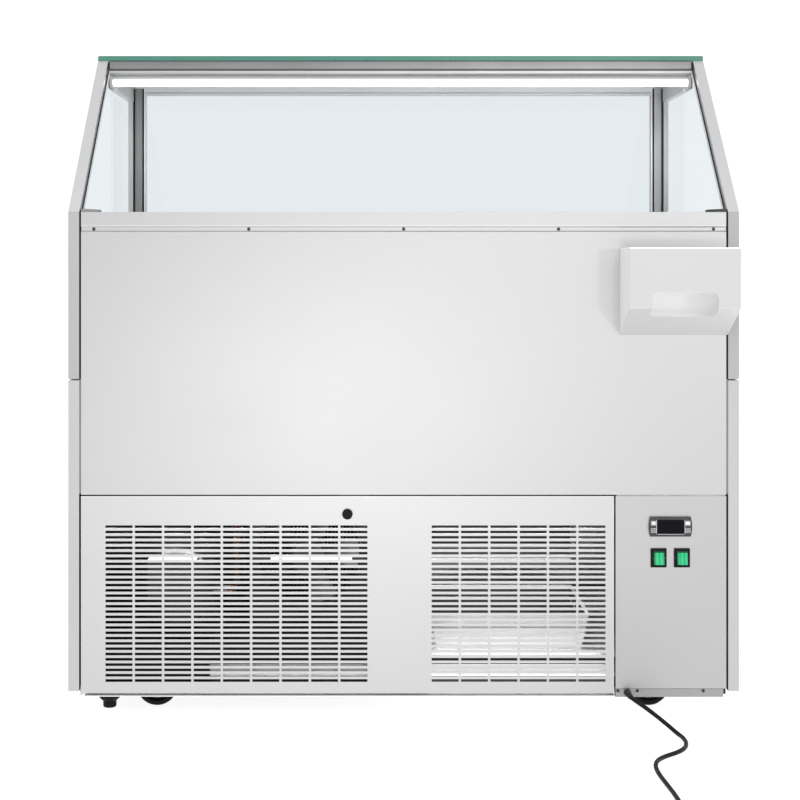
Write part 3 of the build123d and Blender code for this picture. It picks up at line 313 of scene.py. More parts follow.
def rubbed_and_highlit(material, radius):
    """Mask of convex and concave edges within the radius."""
    eased = add_node(material, "ShaderNodeBevel", samples=4, Radius=radius)
    plain = add_node(material, "ShaderNodeNewGeometry")
    likeness = add_node(material, "ShaderNodeVectorMath", operation="DOT_PRODUCT")
    join(material, eased.outputs["Normal"], likeness.inputs[0])
    join(material, plain.outputs["Normal"], likeness.inputs[1])
    return ranged(material, likeness.outputs["Value"], 1.0, 0.0, 0.75, 0.98)


def hollow_of(material, low, high, wall, taper=0.0):
    """Mask of the inner faces of an open box whose walls lean outward."""
    height = along(material, "Z")
    lean = reckoned(material, "SUBTRACT", high.z, height)
    lean = reckoned(material, "MULTIPLY", lean, taper)
    mask = past(material, height, low.z + 0.5 * wall, soft=0.1 * wall)
    for index, axis in enumerate("XY"):
        middle, half = (low[index] + high[index]) / 2, (high[index] - low[index]) / 2
        away = reckoned(material, "SUBTRACT", along(material, axis), middle)
        room = reckoned(material, "SUBTRACT", half, reckoned(material, "ABSOLUTE", away))
        room = reckoned(material, "SUBTRACT", room, lean)
        mask = all_of(material, mask, past(material, room, 0.9 * wall, soft=0.05 * wall))
    return mask


# Finishes


def shaded(colour, share):
    """The colour made lighter or darker."""
    return tuple(min(1.0, channel * share) for channel in colour)


def grey(tone):
    """Plain grey."""
    return (tone, tone, tone)


def painted_over(material, colour, *masks):
    """Lays another colour over a finish where all the masks hold."""
    inlet = shader_of(material).inputs["Base Color"]
    under = inlet.links[0].from_socket
    join(material, mixed(material, all_of(material, *masks), under, colour), inlet)


def banded(material, start, bands, *masks):
    """Lays level grey bands over a finish, each from bottom to top above the start."""
    height = along(material, "Z")
    for bottom, top, tone in bands:
        band = between(material, height, start + bottom, start + top)
        painted_over(material, grey(tone), *masks, band)


def brushed(name, colour, grain=BRUSHED_ALONG_X, roughness=0.38, edge=0.0011, metallic=1.0):
    """Sheet steel with brush lines, faint smears and, if asked, edges lightened for rub wear and as
    a painted highlight.
    """
    material = new_finish(name, colour, roughness, metallic)
    lines = noise(material, 1.0, grain, detail=2.0)
    smears = noise(material, 5.0, (1, 1, 1.4), detail=2.0)
    dull, bright = shaded(colour, 0.985), shaded(colour, 1.015)
    tone = mixed(material, ranged(material, lines, 0.0, 1.0), dull, bright)
    if edge:
        # Edges lightened: rub wear and painted highlight
        tone = mixed(material, rubbed_and_highlit(material, edge), tone, shaded(colour, 1.3))
    colour_from(material, tone)
    rough = ranged(material, lines, roughness - 0.03, roughness + 0.03)
    rough = reckoned(material, "ADD", rough, ranged(material, smears, -0.005, 0.006))
    roughness_from(material, rough)
    bump_from(material, lines, depth=0.00002, strength=0.12)
    return material


def coated(name, colour, roughness=0.42, peel=900.0, depth=0.00003, edge=0.0, **sockets):
    """Stove enamel with orange peel, uneven tone and, if asked, edges lightened for rub wear and as
    a painted highlight.
    """
    material = new_finish(name, colour, roughness, **sockets)
    cloud = ranged(material, noise(material, 3.0, detail=2.0), 0, 1)
    tone = mixed(material, cloud, shaded(colour, 0.97), shaded(colour, 1.03))
    if edge:
        # Edges lightened: rub wear and painted highlight
        tone = mixed(material, rubbed_and_highlit(material, edge), tone, shaded(colour, 1.35))
    colour_from(material, tone)
    uneven = noise(material, 14.0)
    roughness_from(material, ranged(material, uneven, roughness - 0.05, roughness + 0.06))
    bump_from(material, noise(material, peel, detail=1.0), depth, strength=0.4)
    return material


def moulded(name, colour, roughness=0.42, grain=1600.0, depth=0.00005, shine=0.12):
    """Plastic or rubber with a fine spark-eroded grain and rubbed patches."""
    material = new_finish(name, colour, roughness, Specular_IOR_Level=shine)
    speckle = noise(material, grain, detail=1.0)
    worn = noise(material, 22.0, detail=4.0)
    patches = ranged(material, worn, 0, 1, 0.45, 0.75)
    colour_from(material, mixed(material, patches, colour, shaded(colour, 1.6)))
    roughness_from(material, ranged(material, worn, roughness - 0.07, roughness + 0.1))
    bump_from(material, speckle, depth, strength=0.5)
    return material


def spangled(name, colour, roughness, contrast=0.2):
    """Zinc-coated sheet with crystal spangle."""
    material = new_finish(name, colour, roughness, metallic=0.85)
    cells = add_node(material, "ShaderNodeTexVoronoi", Scale=420.0)
    join(material, place_of(material), cells.inputs["Vector"])
    tone = add_node(material, "ShaderNodeRGBToBW")
    join(material, cells.outputs["Color"], tone.inputs["Color"])
    cell = tone.outputs["Val"]
    dull, bright = shaded(colour, 1 - contrast), shaded(colour, 1 + contrast / 2)
    colour_from(material, mixed(material, ranged(material, cell, 0, 1, 0.2, 0.8), dull, bright))
    rough = ranged(material, cell, roughness - 0.1, roughness + 0.12, 0.2, 0.8)
    roughness_from(material, rough)
    return material


def extruded(name, colour, grain, roughness=0.3, metallic=1.0):
    """Anodised aluminium with faint die lines along its length."""
    material = new_finish(name, colour, roughness, metallic)
    lines = noise(material, 1.0, grain, detail=1.0)
    dull, bright = shaded(colour, 0.93), shaded(colour, 1.07)
    colour_from(material, mixed(material, ranged(material, lines, 0, 1), dull, bright))
    uneven = noise(material, 9.0)
    roughness_from(material, ranged(material, uneven, roughness - 0.05, roughness + 0.08))
    bump_from(material, lines, depth=0.00004, strength=0.3)
    return material


def copper_finish(name, share=1.0):
    """Drawn copper with brown oxide patches."""
    drawn = shaded((0.78, 0.40, 0.26), share)
    material = new_finish(name, drawn, roughness=0.3, metallic=1.0)
    patches = ranged(material, noise(material, 38.0, detail=5.0), 0, 1, 0.4, 0.68)
    bright, oxide = shaded((0.80, 0.42, 0.28), share), shaded((0.30, 0.14, 0.09), share)
    colour_from(material, mixed(material, patches, bright, oxide))
    roughness_from(material, ranged(material, patches, 0.22, 0.5, 0.0, 1.0))
    return material


# Shapes


def finish_piece(bm, name, finishes, replaces=(), smooth=SHARP):
    """Turns a bmesh into a piece that rides on the cabinet."""
    mesh = bpy.data.meshes.new(name)
    bmesh.ops.recalc_face_normals(bm, faces=bm.faces)
    bm.to_mesh(mesh)
    bm.free()
    for material in finishes:
        mesh.materials.append(material)
    mesh.shade_smooth()
    mesh.set_sharp_from_angle(angle=smooth)
    piece = bpy.data.objects.new(name, mesh)
    bpy.context.scene.collection.objects.link(piece)
    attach(piece, CABINET)
    if replaces:
        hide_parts(*replaces)
    return piece


def dress(names, material, edge=0.0, flat=True):
    """Gives CAD nodes a finish, and rounds their sharp edges where a width is given."""
    for name in names.split():
        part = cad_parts[name]
        for slot in part.material_slots:
            slot.link = "OBJECT"
            slot.material = material
        if not edge:
            continue
        part.modifiers.new("weld", "WELD").merge_threshold = SAME_POINT
        if flat:
            planes = part.modifiers.new("planes", "DECIMATE")
            planes.decimate_type = "DISSOLVE"
            planes.angle_limit = math.radians(0.15)
        rounding = part.modifiers.new("rounding", "BEVEL")
        rounding.width = edge
        rounding.segments = 2
        rounding.limit_method = "ANGLE"
        rounding.angle_limit = SHARP
        rounding.harden_normals = False


def node_mesh(name):
    """A CAD node's faces as a bmesh of flat polygons."""
    bm = bmesh.new()
    bm.from_mesh(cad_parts[name].data)
    bmesh.ops.remove_doubles(bm, verts=bm.verts, dist=SAME_POINT)
    flat = math.radians(0.5)
    bmesh.ops.dissolve_limit(bm, angle_limit=flat, verts=bm.verts, edges=bm.edges)
    return bm


def add_box(bm, low, high):
    """Adds a block between two corners."""
    middle = (Vector(low) + Vector(high)) / 2
    size = Vector(high) - Vector(low)
    matrix = Matrix.Translation(middle) @ Matrix.Diagonal((*size, 1.0))
    bmesh.ops.create_cube(bm, size=1.0, matrix=matrix)


def add_lathe(bm, profile, centre, axis, steps):
    """Adds a turned shape; the profile gives radius and height along the axis."""
    side = axis.orthogonal().normalized()
    other = axis.cross(side)
    turns = [2 * math.pi * step / steps for step in range(steps)]
    spokes = [math.cos(turn) * side + math.sin(turn) * other for turn in turns]
    rings = []
    for radius, height in profile:
        base = centre + axis * height
        around = [base + radius * spoke for spoke in spokes] if radius else [base]
        rings.append([bm.verts.new(point) for point in around])
    for lower, upper in zip(rings, rings[1:]):
        for step in range(steps):
            after = (step + 1) % steps
            corners = [lower[step % len(lower)], lower[after % len(lower)]]
            corners += [upper[after % len(upper)], upper[step % len(upper)]]
            bm.faces.new(dict.fromkeys(corners))


def add_loft(bm, sections, cap=True):
    """Adds a skin over rings of points of equal count."""
    rings = [[bm.verts.new(point) for point in ring] for ring in sections]
    for lower, upper in zip(rings, rings[1:]):
        for index in range(len(lower)):
            after = (index + 1) % len(lower)
            bm.faces.new((lower[index], lower[after], upper[after], upper[index]))
    if cap:
        bm.faces.new(rings[0])
        bm.faces.new(rings[-1])


def rounded_ring(centre, across, up, width, height, corner):
    """Points round a rectangle with rounded corners."""
    steps = 5
    points = []
    for quarter, (sx, sy) in enumerate(((1, 1), (-1, 1), (-1, -1), (1, -1))):
        mid = centre + across * sx * (width / 2 - corner) + up * sy * (height / 2 - corner)
        for step in range(steps + 1):
            turn = math.pi / 2 * (quarter + step / steps)
            points.append(mid + corner * (math.cos(turn) * across + math.sin(turn) * up))
    return points


def round_ring(centre, across, up, radius):
    """Points round a circle, a little flattened at its quarters."""
    return rounded_ring(centre, across, up, 2 * radius, 2 * radius, radius * 0.98)


def rib_steps(ribs, parts):
    """Share of the length and swell at each step of a ribbed sleeve."""
    return [((rib + part) / ribs, swell) for rib in range(ribs) for part, swell in parts]


# Supply cord

ROUTE = (
    (0.4000, -0.2785, 0.0458), (0.4000, -0.2985, 0.0458), (0.4080, -0.3165, 0.0428),
    (0.4230, -0.3305, 0.0348), (0.4410, -0.3425, 0.0228), (0.4570, -0.3565, 0.0118),
    (0.4690, -0.3755, 0.0038), (0.4750, -0.4025, 0.0038), (0.4750, -0.4325, 0.0038),
    (0.4670, -0.4615, 0.0038), (0.4490, -0.4855, 0.0038), (0.4270, -0.5035, 0.0038),
    (0.4090, -0.5255, 0.0038), (0.4000, -0.5555, 0.0038), (0.3990, -0.5975, 0.0038),
    (0.4030, -0.6505, 0.0038), (0.4070, -0.7075, 0.0038), (0.4070, -0.7665, 0.0038),
    (0.4040, -0.8175, 0.0038), (0.4040, -0.8550, 0.0038),
)
COIL_START = Vector((0.4040, -0.8625, 0.0038))
# Radius and climb of each half turn
COIL_HALF_TURNS = (
    (0.0580, 0.0), (0.0535, 0.0), (0.0490, 0.0), (0.0445, 0.0082),
    (0.0490, 0.0), (0.0535, 0.0), (0.0580, 0.0), (0.0625, 0.0),
)
COIL_TAIL = 0.072
POINTS_PER_HALF_TURN = 8

RELIEF_LENGTH = 0.026
# Thickness at the gland and how much of it is lost by the end, in radii of the cord
RELIEF_THICK, RELIEF_TAPER = 1.62, 0.5
RELIEF_RIBS = 6
# Shares of a rib's length, and the swell there
RELIEF_PARTS = ((0.0, 1.0), (0.5, 1.0), (0.58, 0.84), (0.92, 0.84))

PLUG_RELIEF = 0.020
PLUG_RELIEF_THIN = 1.32  # In radii of the cord
PLUG_RIBS = 7
PLUG_PARTS = ((0.0, 1.0), (0.55, 1.0), (0.6, 0.86), (0.95, 0.86))
PLUG_BODY = 0.042
# Shares of the body's length, and of its width and height there
PLUG_SHAPE = (
    (0.0, 0.62, 0.66), (0.08, 0.8, 0.82), (0.2, 0.93, 0.94),
    (0.34, 0.9, 0.92), (0.5, 0.86, 0.9), (0.64, 0.92, 0.95),
    (0.74, 1.0, 1.0), (0.96, 1.0, 1.0), (1.0, 0.95, 0.93),
)
PLUG_CORNER = 0.36  # Share of the height
GRIP_PLACES = (0.30, 0.39, 0.48, 0.57)  # Shares of the body's length
PIN_SPREAD = 0.0095
PIN_STEPS = 24
# Radius and height along the pin
PIN_SLEEVE = (
    (0.0, -0.001), (0.0027, -0.001), (0.0027, 0.001),
    (0.0024, 0.0012), (0.0024, 0.002), (0.0, 0.002),
)
PIN = (
    (0.0, 0.0), (0.0024, 0.0), (0.0024, 0.0172),
    (0.0018, 0.0186), (0.0008, 0.019), (0.0, 0.019),
)

TIE_MIDDLE = Vector((0.520, COIL_START.y, 0.00885))
TIE_WIDTH = 0.010
# Width, height and corner of the tie's outside and inside
TIE_OUTER = (0.0290, 0.0175, 0.0070)
TIE_INNER = (0.0270, 0.0155, 0.0060)


def coil_points():
    """Control points of the put-away turns, and the point where the tail ends."""
    step = math.pi / POINTS_PER_HALF_TURN
    spread = 1 / math.cos(step / 2)
    points = []
    start = COIL_START.copy()
    side = 1
    for radius, climb in COIL_HALF_TURNS:
        for index in range(POINTS_PER_HALF_TURN):
            turn = (index + 0.5) * step
            across = side * radius * (1 - spread * math.cos(turn))
            down = -side * radius * spread * math.sin(turn)
            rise = climb * (1 - math.cos(turn)) / 2
            points.append(start + Vector((across, down, rise)))
        start = start + Vector((2 * side * radius, 0, climb))
        side = -side
    end = start - COIL_TAIL * Y
    points += [start - COIL_TAIL / 3 * Y, end]
    return points, end


class FREEZER_OT_cord(bpy.types.Operator):
    """Supply cord from the gland over the floor to its coil and plug"""

    bl_idname = "freezer.cord"
    bl_label = "Supply cord"

    def execute(self, context):
        _, finish, size = settings(context)
        black = moulded(
            "cord_sheath", finish.cord, roughness=0.45, grain=2600.0, depth=0.00003, shine=0.14
        )
        rubber = moulded("plug_moulding", finish.black, roughness=0.45, grain=1500.0, shine=0.3)
        brass = coated("plug_pins", (0.62, 0.56, 0.44), roughness=0.25, Metallic=1.0)
        radius = size.cord_diameter / 2
        points, end = coil_points()
        curve = bpy.data.curves.new("supply_cord", "CURVE")
        curve.dimensions = "3D"
        spline = curve.splines.new("NURBS")
        places = [Vector(point) for point in ROUTE] + points
        spline.points.add(len(places) - 1)
        for control, place in zip(spline.points, places):
            control.co = (*place, 1.0)
        spline.order_u = 3
        spline.use_endpoint_u = True
        spline.resolution_u = 6
        cord = bpy.data.objects.new("supply_cord", curve)
        context.scene.collection.objects.link(cord)
        relief = self.relief(cord, radius, rubber)
        curve.bevel_depth = radius
        curve.bevel_resolution = 5
        curve.use_fill_caps = True
        curve.materials.append(black)
        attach(cord, CABINET)
        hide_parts("power_cord", "cord_coil")
        plug = self.plug(end, radius, rubber, brass)
        tie = self.tie(rubber)
        return {"FINISHED"}

    def relief(self, cord, radius, rubber):
        """Ribbed taper over the cord's first stretch, along points read from its spline."""
        line = bpy.data.meshes.new_from_object(cord)
        points = [vertex.co.copy() for vertex in line.vertices]
        bpy.data.meshes.remove(line)

        def at(distance):
            for start, after in zip(points, points[1:]):
                run = (after - start).length
                if distance <= run:
                    way = (after - start).normalized()
                    return start + way * distance, way
                distance -= run
            raise ValueError("the cord is shorter than its relief")

        bm = bmesh.new()
        rings = []
        for share, swell in rib_steps(RELIEF_RIBS, RELIEF_PARTS):
            grown = radius * (RELIEF_THICK - RELIEF_TAPER * share)
            if share >= 1 / RELIEF_RIBS:
                grown *= swell
            centre, way = at(max(RELIEF_LENGTH * share, HAIR))
            across = way.cross(Z).normalized()
            rings.append(round_ring(centre, across, across.cross(way), grown))
        add_loft(bm, rings)
        return finish_piece(bm, "cord_relief", [rubber])

    def plug(self, end, radius, rubber, brass):
        """Moulded two-pin plug with a ribbed relief, lying at the end of the tail."""
        low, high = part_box("plug")
        width, height = high.x - low.x, high.z - low.z
        thin, thick = radius * PLUG_RELIEF_THIN, height / 3
        bm = bmesh.new()
        rings = []
        for share, swell in rib_steps(PLUG_RIBS, PLUG_PARTS):
            grown = (thin + (thick - thin) * share) * swell
            rings.append(round_ring(end - PLUG_RELIEF * share * Y, X, Z, grown))
        add_loft(bm, rings)
        rings = []
        for share, wide, tall in PLUG_SHAPE:
            centre = end - (PLUG_RELIEF + PLUG_BODY * share) * Y
            wide, tall = width * wide, height * tall
            rings.append(rounded_ring(centre, X, Z, wide, tall, tall * PLUG_CORNER))
        add_loft(bm, rings)
        bar = Vector((0.0012, 0.001, height * 0.28))
        for share in GRIP_PLACES:
            for side in (-1, 1):
                back = PLUG_RELIEF + PLUG_BODY * share
                middle = end + Vector((side * width * 0.435, -back, 0))
                add_box(bm, middle - bar, middle + bar)
        face = end - (PLUG_RELIEF + PLUG_BODY) * Y
        for profile in (PIN_SLEEVE, PIN):
            first = len(bm.faces)
            for side in (-1, 1):
                add_lathe(bm, profile, face + side * PIN_SPREAD * X, -Y, PIN_STEPS)
        bm.faces.ensure_lookup_table()
        for pin_face in bm.faces[first:]:
            pin_face.material_index = 1
        return finish_piece(bm, "plug_moulded", [rubber, brass], ["plug"])

    def tie(self, rubber):
        """Band round the turns of the coil."""
        bm = bmesh.new()
        outer = rounded_ring(TIE_MIDDLE, X, Z, *TIE_OUTER)
        inner = rounded_ring(TIE_MIDDLE, X, Z, *TIE_INNER)
        half = TIE_WIDTH / 2 * Y
        sides = ((outer, -half), (outer, half), (inner, half), (inner, -half), (outer, -half))
        add_loft(bm, [[point + away for point in ring] for ring, away in sides], cap=False)
        bmesh.ops.remove_doubles(bm, verts=bm.verts, dist=SAME_POINT)
        return finish_piece(bm, "coil_tie", [rubber])


# Cabinet

# Rubber corners of the sill: reach inward and back, and height at the outer and inner end
SEAL_LENGTH, SEAL_DEPTH, SEAL_TALL, SEAL_SHORT = 0.032, 0.030, 0.0060, 0.0046
SEAL_INSET = 0.0012
# Shares of that height, and how far the rounded top is drawn in there
SEAL_LEVELS = ((0.0, 0.0), (0.6, 0.0), (0.86, 0.0007), (1.0, 0.0018))
STRIP_WIDTH = 0.0060


class FREEZER_OT_panels(bpy.types.Operator):
    """Stainless outer sheets and trims, the rubber in their joints, and black strips of painted
    shade in the bay
    """

    bl_idname = "freezer.panels"
    bl_label = "Steel panels"

    def execute(self, context):
        _, finish, size = settings(context)
        rear = brushed("brushed_steel", finish.steel)
        low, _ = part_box("rear_panel")
        # Painted shade: the lower edge over the grille is painted black so the joint reads dark
        over_grille = short_of(rear, "X", GRILLE_END, soft=0.00025)
        painted_over(rear, PAINTED_BAY_SHADE, short_of(rear, "Z", low.z + 0.0005), over_grille)
        dress("rear_panel", rear, size.sheet_edge)
        front = brushed("front_steel", finish.steel)
        _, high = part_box("front_panel")
        # Painted shade: the inner face below the tub is painted black, and painted light lifts its
        # right half to grey
        inner_face = all_of(front, short_of(front, "Y", high.y - 0.0008), under_tub(front))
        painted_over(front, PAINTED_BAY_SHADE, inner_face)
        painted_over(front, grey(0.4), inner_face, past(front, "X", BAY_MIDDLE, soft=0.001))
        dress("front_panel", front, size.sheet_edge)
        sill = brushed("sill_steel", finish.steel)
        low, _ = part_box("sill_cap")
        # Painted highlight: a lighter line along the fold
        fold_highlight = between(sill, "Z", low.z + 0.0088, low.z + 0.0100)
        painted_over(sill, shaded(finish.steel, 1.25), fold_highlight)
        dress("sill_cap", sill, size.sheet_edge)
        dress("control_panel", brushed("control_steel", finish.control_steel), size.sheet_edge)
        # Painted light: the slanted trims take the panel steel made lighter
        trim = brushed("trim_steel", shaded(finish.steel, 1.22), BRUSHED_ALONG_Y)
        dress("side_trims", trim, size.sheet_edge)
        self.corner_seals()
        self.seam_strips()
        return {"FINISHED"}

    def corner_seals(self):
        """Rubber corners that close the sill's ends against the slanted trims."""
        low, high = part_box("sill_cap")
        rubber = moulded("corner_rubber", (0.04, 0.04, 0.042), roughness=0.6)
        # Painted light: the left seal is painted lighter grey than the right
        painted_over(rubber, (0.20, 0.20, 0.202), short_of(rubber, "X", 0.0, soft=0.1))
        bm = bmesh.new()
        for side in (-1, 1):
            rings = []
            for lift, pull in SEAL_LEVELS:
                outer, inner = side * high.x, side * (high.x - SEAL_LENGTH + pull)
                near, far = low.y + SEAL_INSET + pull, low.y + SEAL_DEPTH - pull
                tall, short = high.z + lift * SEAL_TALL, high.z + lift * SEAL_SHORT
                corners = ((outer, near, tall), (inner, near, short))
                corners += ((inner, far, short), (outer, far, tall))
                rings.append([Vector(corner) for corner in corners])
            add_loft(bm, rings)
        finish_piece(bm, "sill_corner_seals", [rubber])

    def seam_strips(self):
        """Grey strip in the joint over the control panel, and black strips of painted shade in the
        bay's far corners.
        """
        low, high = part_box("control_panel")
        gap, inset = 0.0002, 0.002
        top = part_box("rear_panel")[0].z - gap
        bm = bmesh.new()
        near = (low.x + inset, low.y + 0.0006, high.z + gap)
        self.strip(bm, near, (high.x - inset, low.y + 0.0042, top))
        soft_grey = moulded("seam_rubber", (0.36, 0.36, 0.362), roughness=0.6)
        finish_piece(bm, "control_seam_strip", [soft_grey])
        bm = bmesh.new()
        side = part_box("side_panel_right")[0].x - 0.0003
        foam_low, foam_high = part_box("foam_body")
        floor, top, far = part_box("base_frame")[1].z + 0.0015, foam_low.z - 0.0015, foam_high.y
        for edge in (-side, side - STRIP_WIDTH):
            near = (edge, far - 0.0030, floor)
            self.strip(bm, near, (edge + STRIP_WIDTH, far - 0.0006, top))
        # Painted shade: black strips that darken the bay's far corners
        black = moulded("corner_strip_rubber", PAINTED_BAY_SHADE, roughness=0.6)
        finish_piece(bm, "bay_corner_strips", [black])

    def strip(self, bm, low, high):
        """Straight strip between two corners, with its ends' edges taken off."""
        (x0, y0, z0), (x1, y1, z1) = low, high
        cut = 2 * HAIR
        rings = []
        for level, pull in ((z0, cut), (z0 + cut, 0.0), (z1 - cut, 0.0), (z1, cut)):
            left, right, near, far = x0 + pull, x1 - pull, y0 + pull, y1 - pull
            corners = ((left, near), (right, near), (right, far), (left, far))
            rings.append([Vector((*corner, level)) for corner in corners])
        add_loft(bm, rings)


class FREEZER_OT_sides(bpy.types.Operator):
    """Side panels and covers"""

    bl_idname = "freezer.sides"
    bl_label = "Sides"

    def execute(self, context):
        _, finish, size = settings(context)
        rub_and_highlight = 0.0016
        sheet = coated("side_coating", finish.side_sheet, edge=rub_and_highlight)
        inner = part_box("side_panel_right")[0].x
        # Painted shade: the inner faces are dark grey on the right side and black below the tub
        inner_face = short_of(sheet, from_middle(sheet), inner + 0.0003)
        painted_over(sheet, grey(0.2), inner_face, past(sheet, "X", 0.5, soft=0.2))
        painted_over(sheet, PAINTED_BAY_SHADE, inner_face, under_tub(sheet))
        dress("side_panel_left side_panel_right", sheet, size.side_edge)
        cover = coated("cover_coating", finish.side_cover, edge=rub_and_highlight)
        dress("side_cover_left side_cover_right", cover, size.side_edge)
        return {"FINISHED"}


# Painted highlights and painted shade for what shows through the slots: bottom and top of each band
# above the sheet's foot, and its tone
BAFFLE_LIGHT_AND_SHADE = (
    (0.0, 0.0035, 0.9), (0.0035, 0.018, 0.16), (0.018, 0.0265, 0.95),
    (0.0265, 0.041, 0.05), (0.041, 0.050, 0.16),
)
RAIL_LIGHT_AND_SHADE = ((0.0385, 0.052, 0.42), (0.0325, 0.0385, 0.95), (0.0080, 0.0325, 0.045))
RAIL_STEP_LIGHT = ((0.0505, 0.0535, 0.52),)


class FREEZER_OT_base(bpy.types.Operator):
    """Base frame, air baffle and drain stub"""

    bl_idname = "freezer.base"
    bl_label = "Base"

    def execute(self, context):
        _, finish, size = settings(context)
        dress("base_frame", self.base_zinc(finish.zinc), size.sheet_edge)
        # Painted shade: a black sheet, with bands of painted light and shade laid over it
        sheet = coated("baffle_enamel", grey(0.004), roughness=0.45)
        banded(sheet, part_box("air_baffle")[0].z, BAFFLE_LIGHT_AND_SHADE)
        dress("air_baffle", sheet, size.sheet_edge)
        dress("drain_stub", moulded("drain_rubber", finish.black, roughness=0.5))
        return {"FINISHED"}

    def base_zinc(self, colour):
        """Zinc sheet, with painted shade in black on the bay's floor, and painted light behind the
        right slots and along the lip.
        """
        zinc = spangled("base_zinc", colour, roughness=0.45, contrast=0.08)
        low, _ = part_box("base_frame")
        across, depth, height = (along(zinc, axis) for axis in "XYZ")
        behind = past(zinc, depth, low.y + 0.01875, soft=0.00025)
        # Painted shade: black inside the bay
        painted_over(zinc, PAINTED_BAY_SHADE, behind)
        right = past(zinc, across, BAY_MIDDLE, soft=0.001)
        upper = past(zinc, height, low.z + 0.0607, soft=0.0002)
        # Painted light: pale behind the right slots
        painted_over(zinc, grey(0.85), behind, right, upper)
        middle = all_of(zinc, behind, past(zinc, across, -0.3475, soft=0.0025))
        # Painted light and shade: bands on the rail's step
        banded(zinc, low.z, RAIL_STEP_LIGHT, middle)
        near = short_of(zinc, depth, low.y + 0.02425, soft=0.00025)
        # Painted light and shade: bands on the rail's face
        banded(zinc, low.z, RAIL_LIGHT_AND_SHADE, middle, near)
        lip = short_of(zinc, height, low.z + 0.0080, soft=0.0002)
        under_grille = short_of(zinc, across, GRILLE_END + 0.0004, soft=0.00015)
        # Painted light: pale in the slit under the grille
        painted_over(zinc, grey(0.70), lip, under_grille, near)
        return zinc


class FREEZER_OT_tub(bpy.types.Operator):
    """Insulated body, tub liner, pan rails and evaporator"""

    bl_idname = "freezer.tub"
    bl_label = "Tub"

    def execute(self, context):
        _, finish, size = settings(context)
        foam = coated("foam_skin", (0.20, 0.20, 0.205), roughness=0.85, peel=350.0, depth=0.0006)
        low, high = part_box("foam_body")
        # Painted light in the seam under the sill, painted shade on the bay's ceiling
        painted_over(foam, grey(0.4), past(foam, "Z", high.z - 0.0035, soft=0.0005))
        painted_over(foam, PAINTED_BAY_SHADE, short_of(foam, "Z", low.z + 0.0015, soft=0.0005))
        dress("foam_body", foam)
        # Painted light: the liner is the panel steel made much lighter, against the tub's shade
        bright = shaded(finish.steel, 1.85)
        dress("tub_liner", brushed("liner_steel", bright, roughness=0.26, edge=0.0))
        dress("pan_rails", brushed("rail_steel", finish.steel, roughness=0.25), size.sheet_edge)
        dress("evaporator_coil", copper_finish("evaporator_copper"))
        return {"FINISHED"}


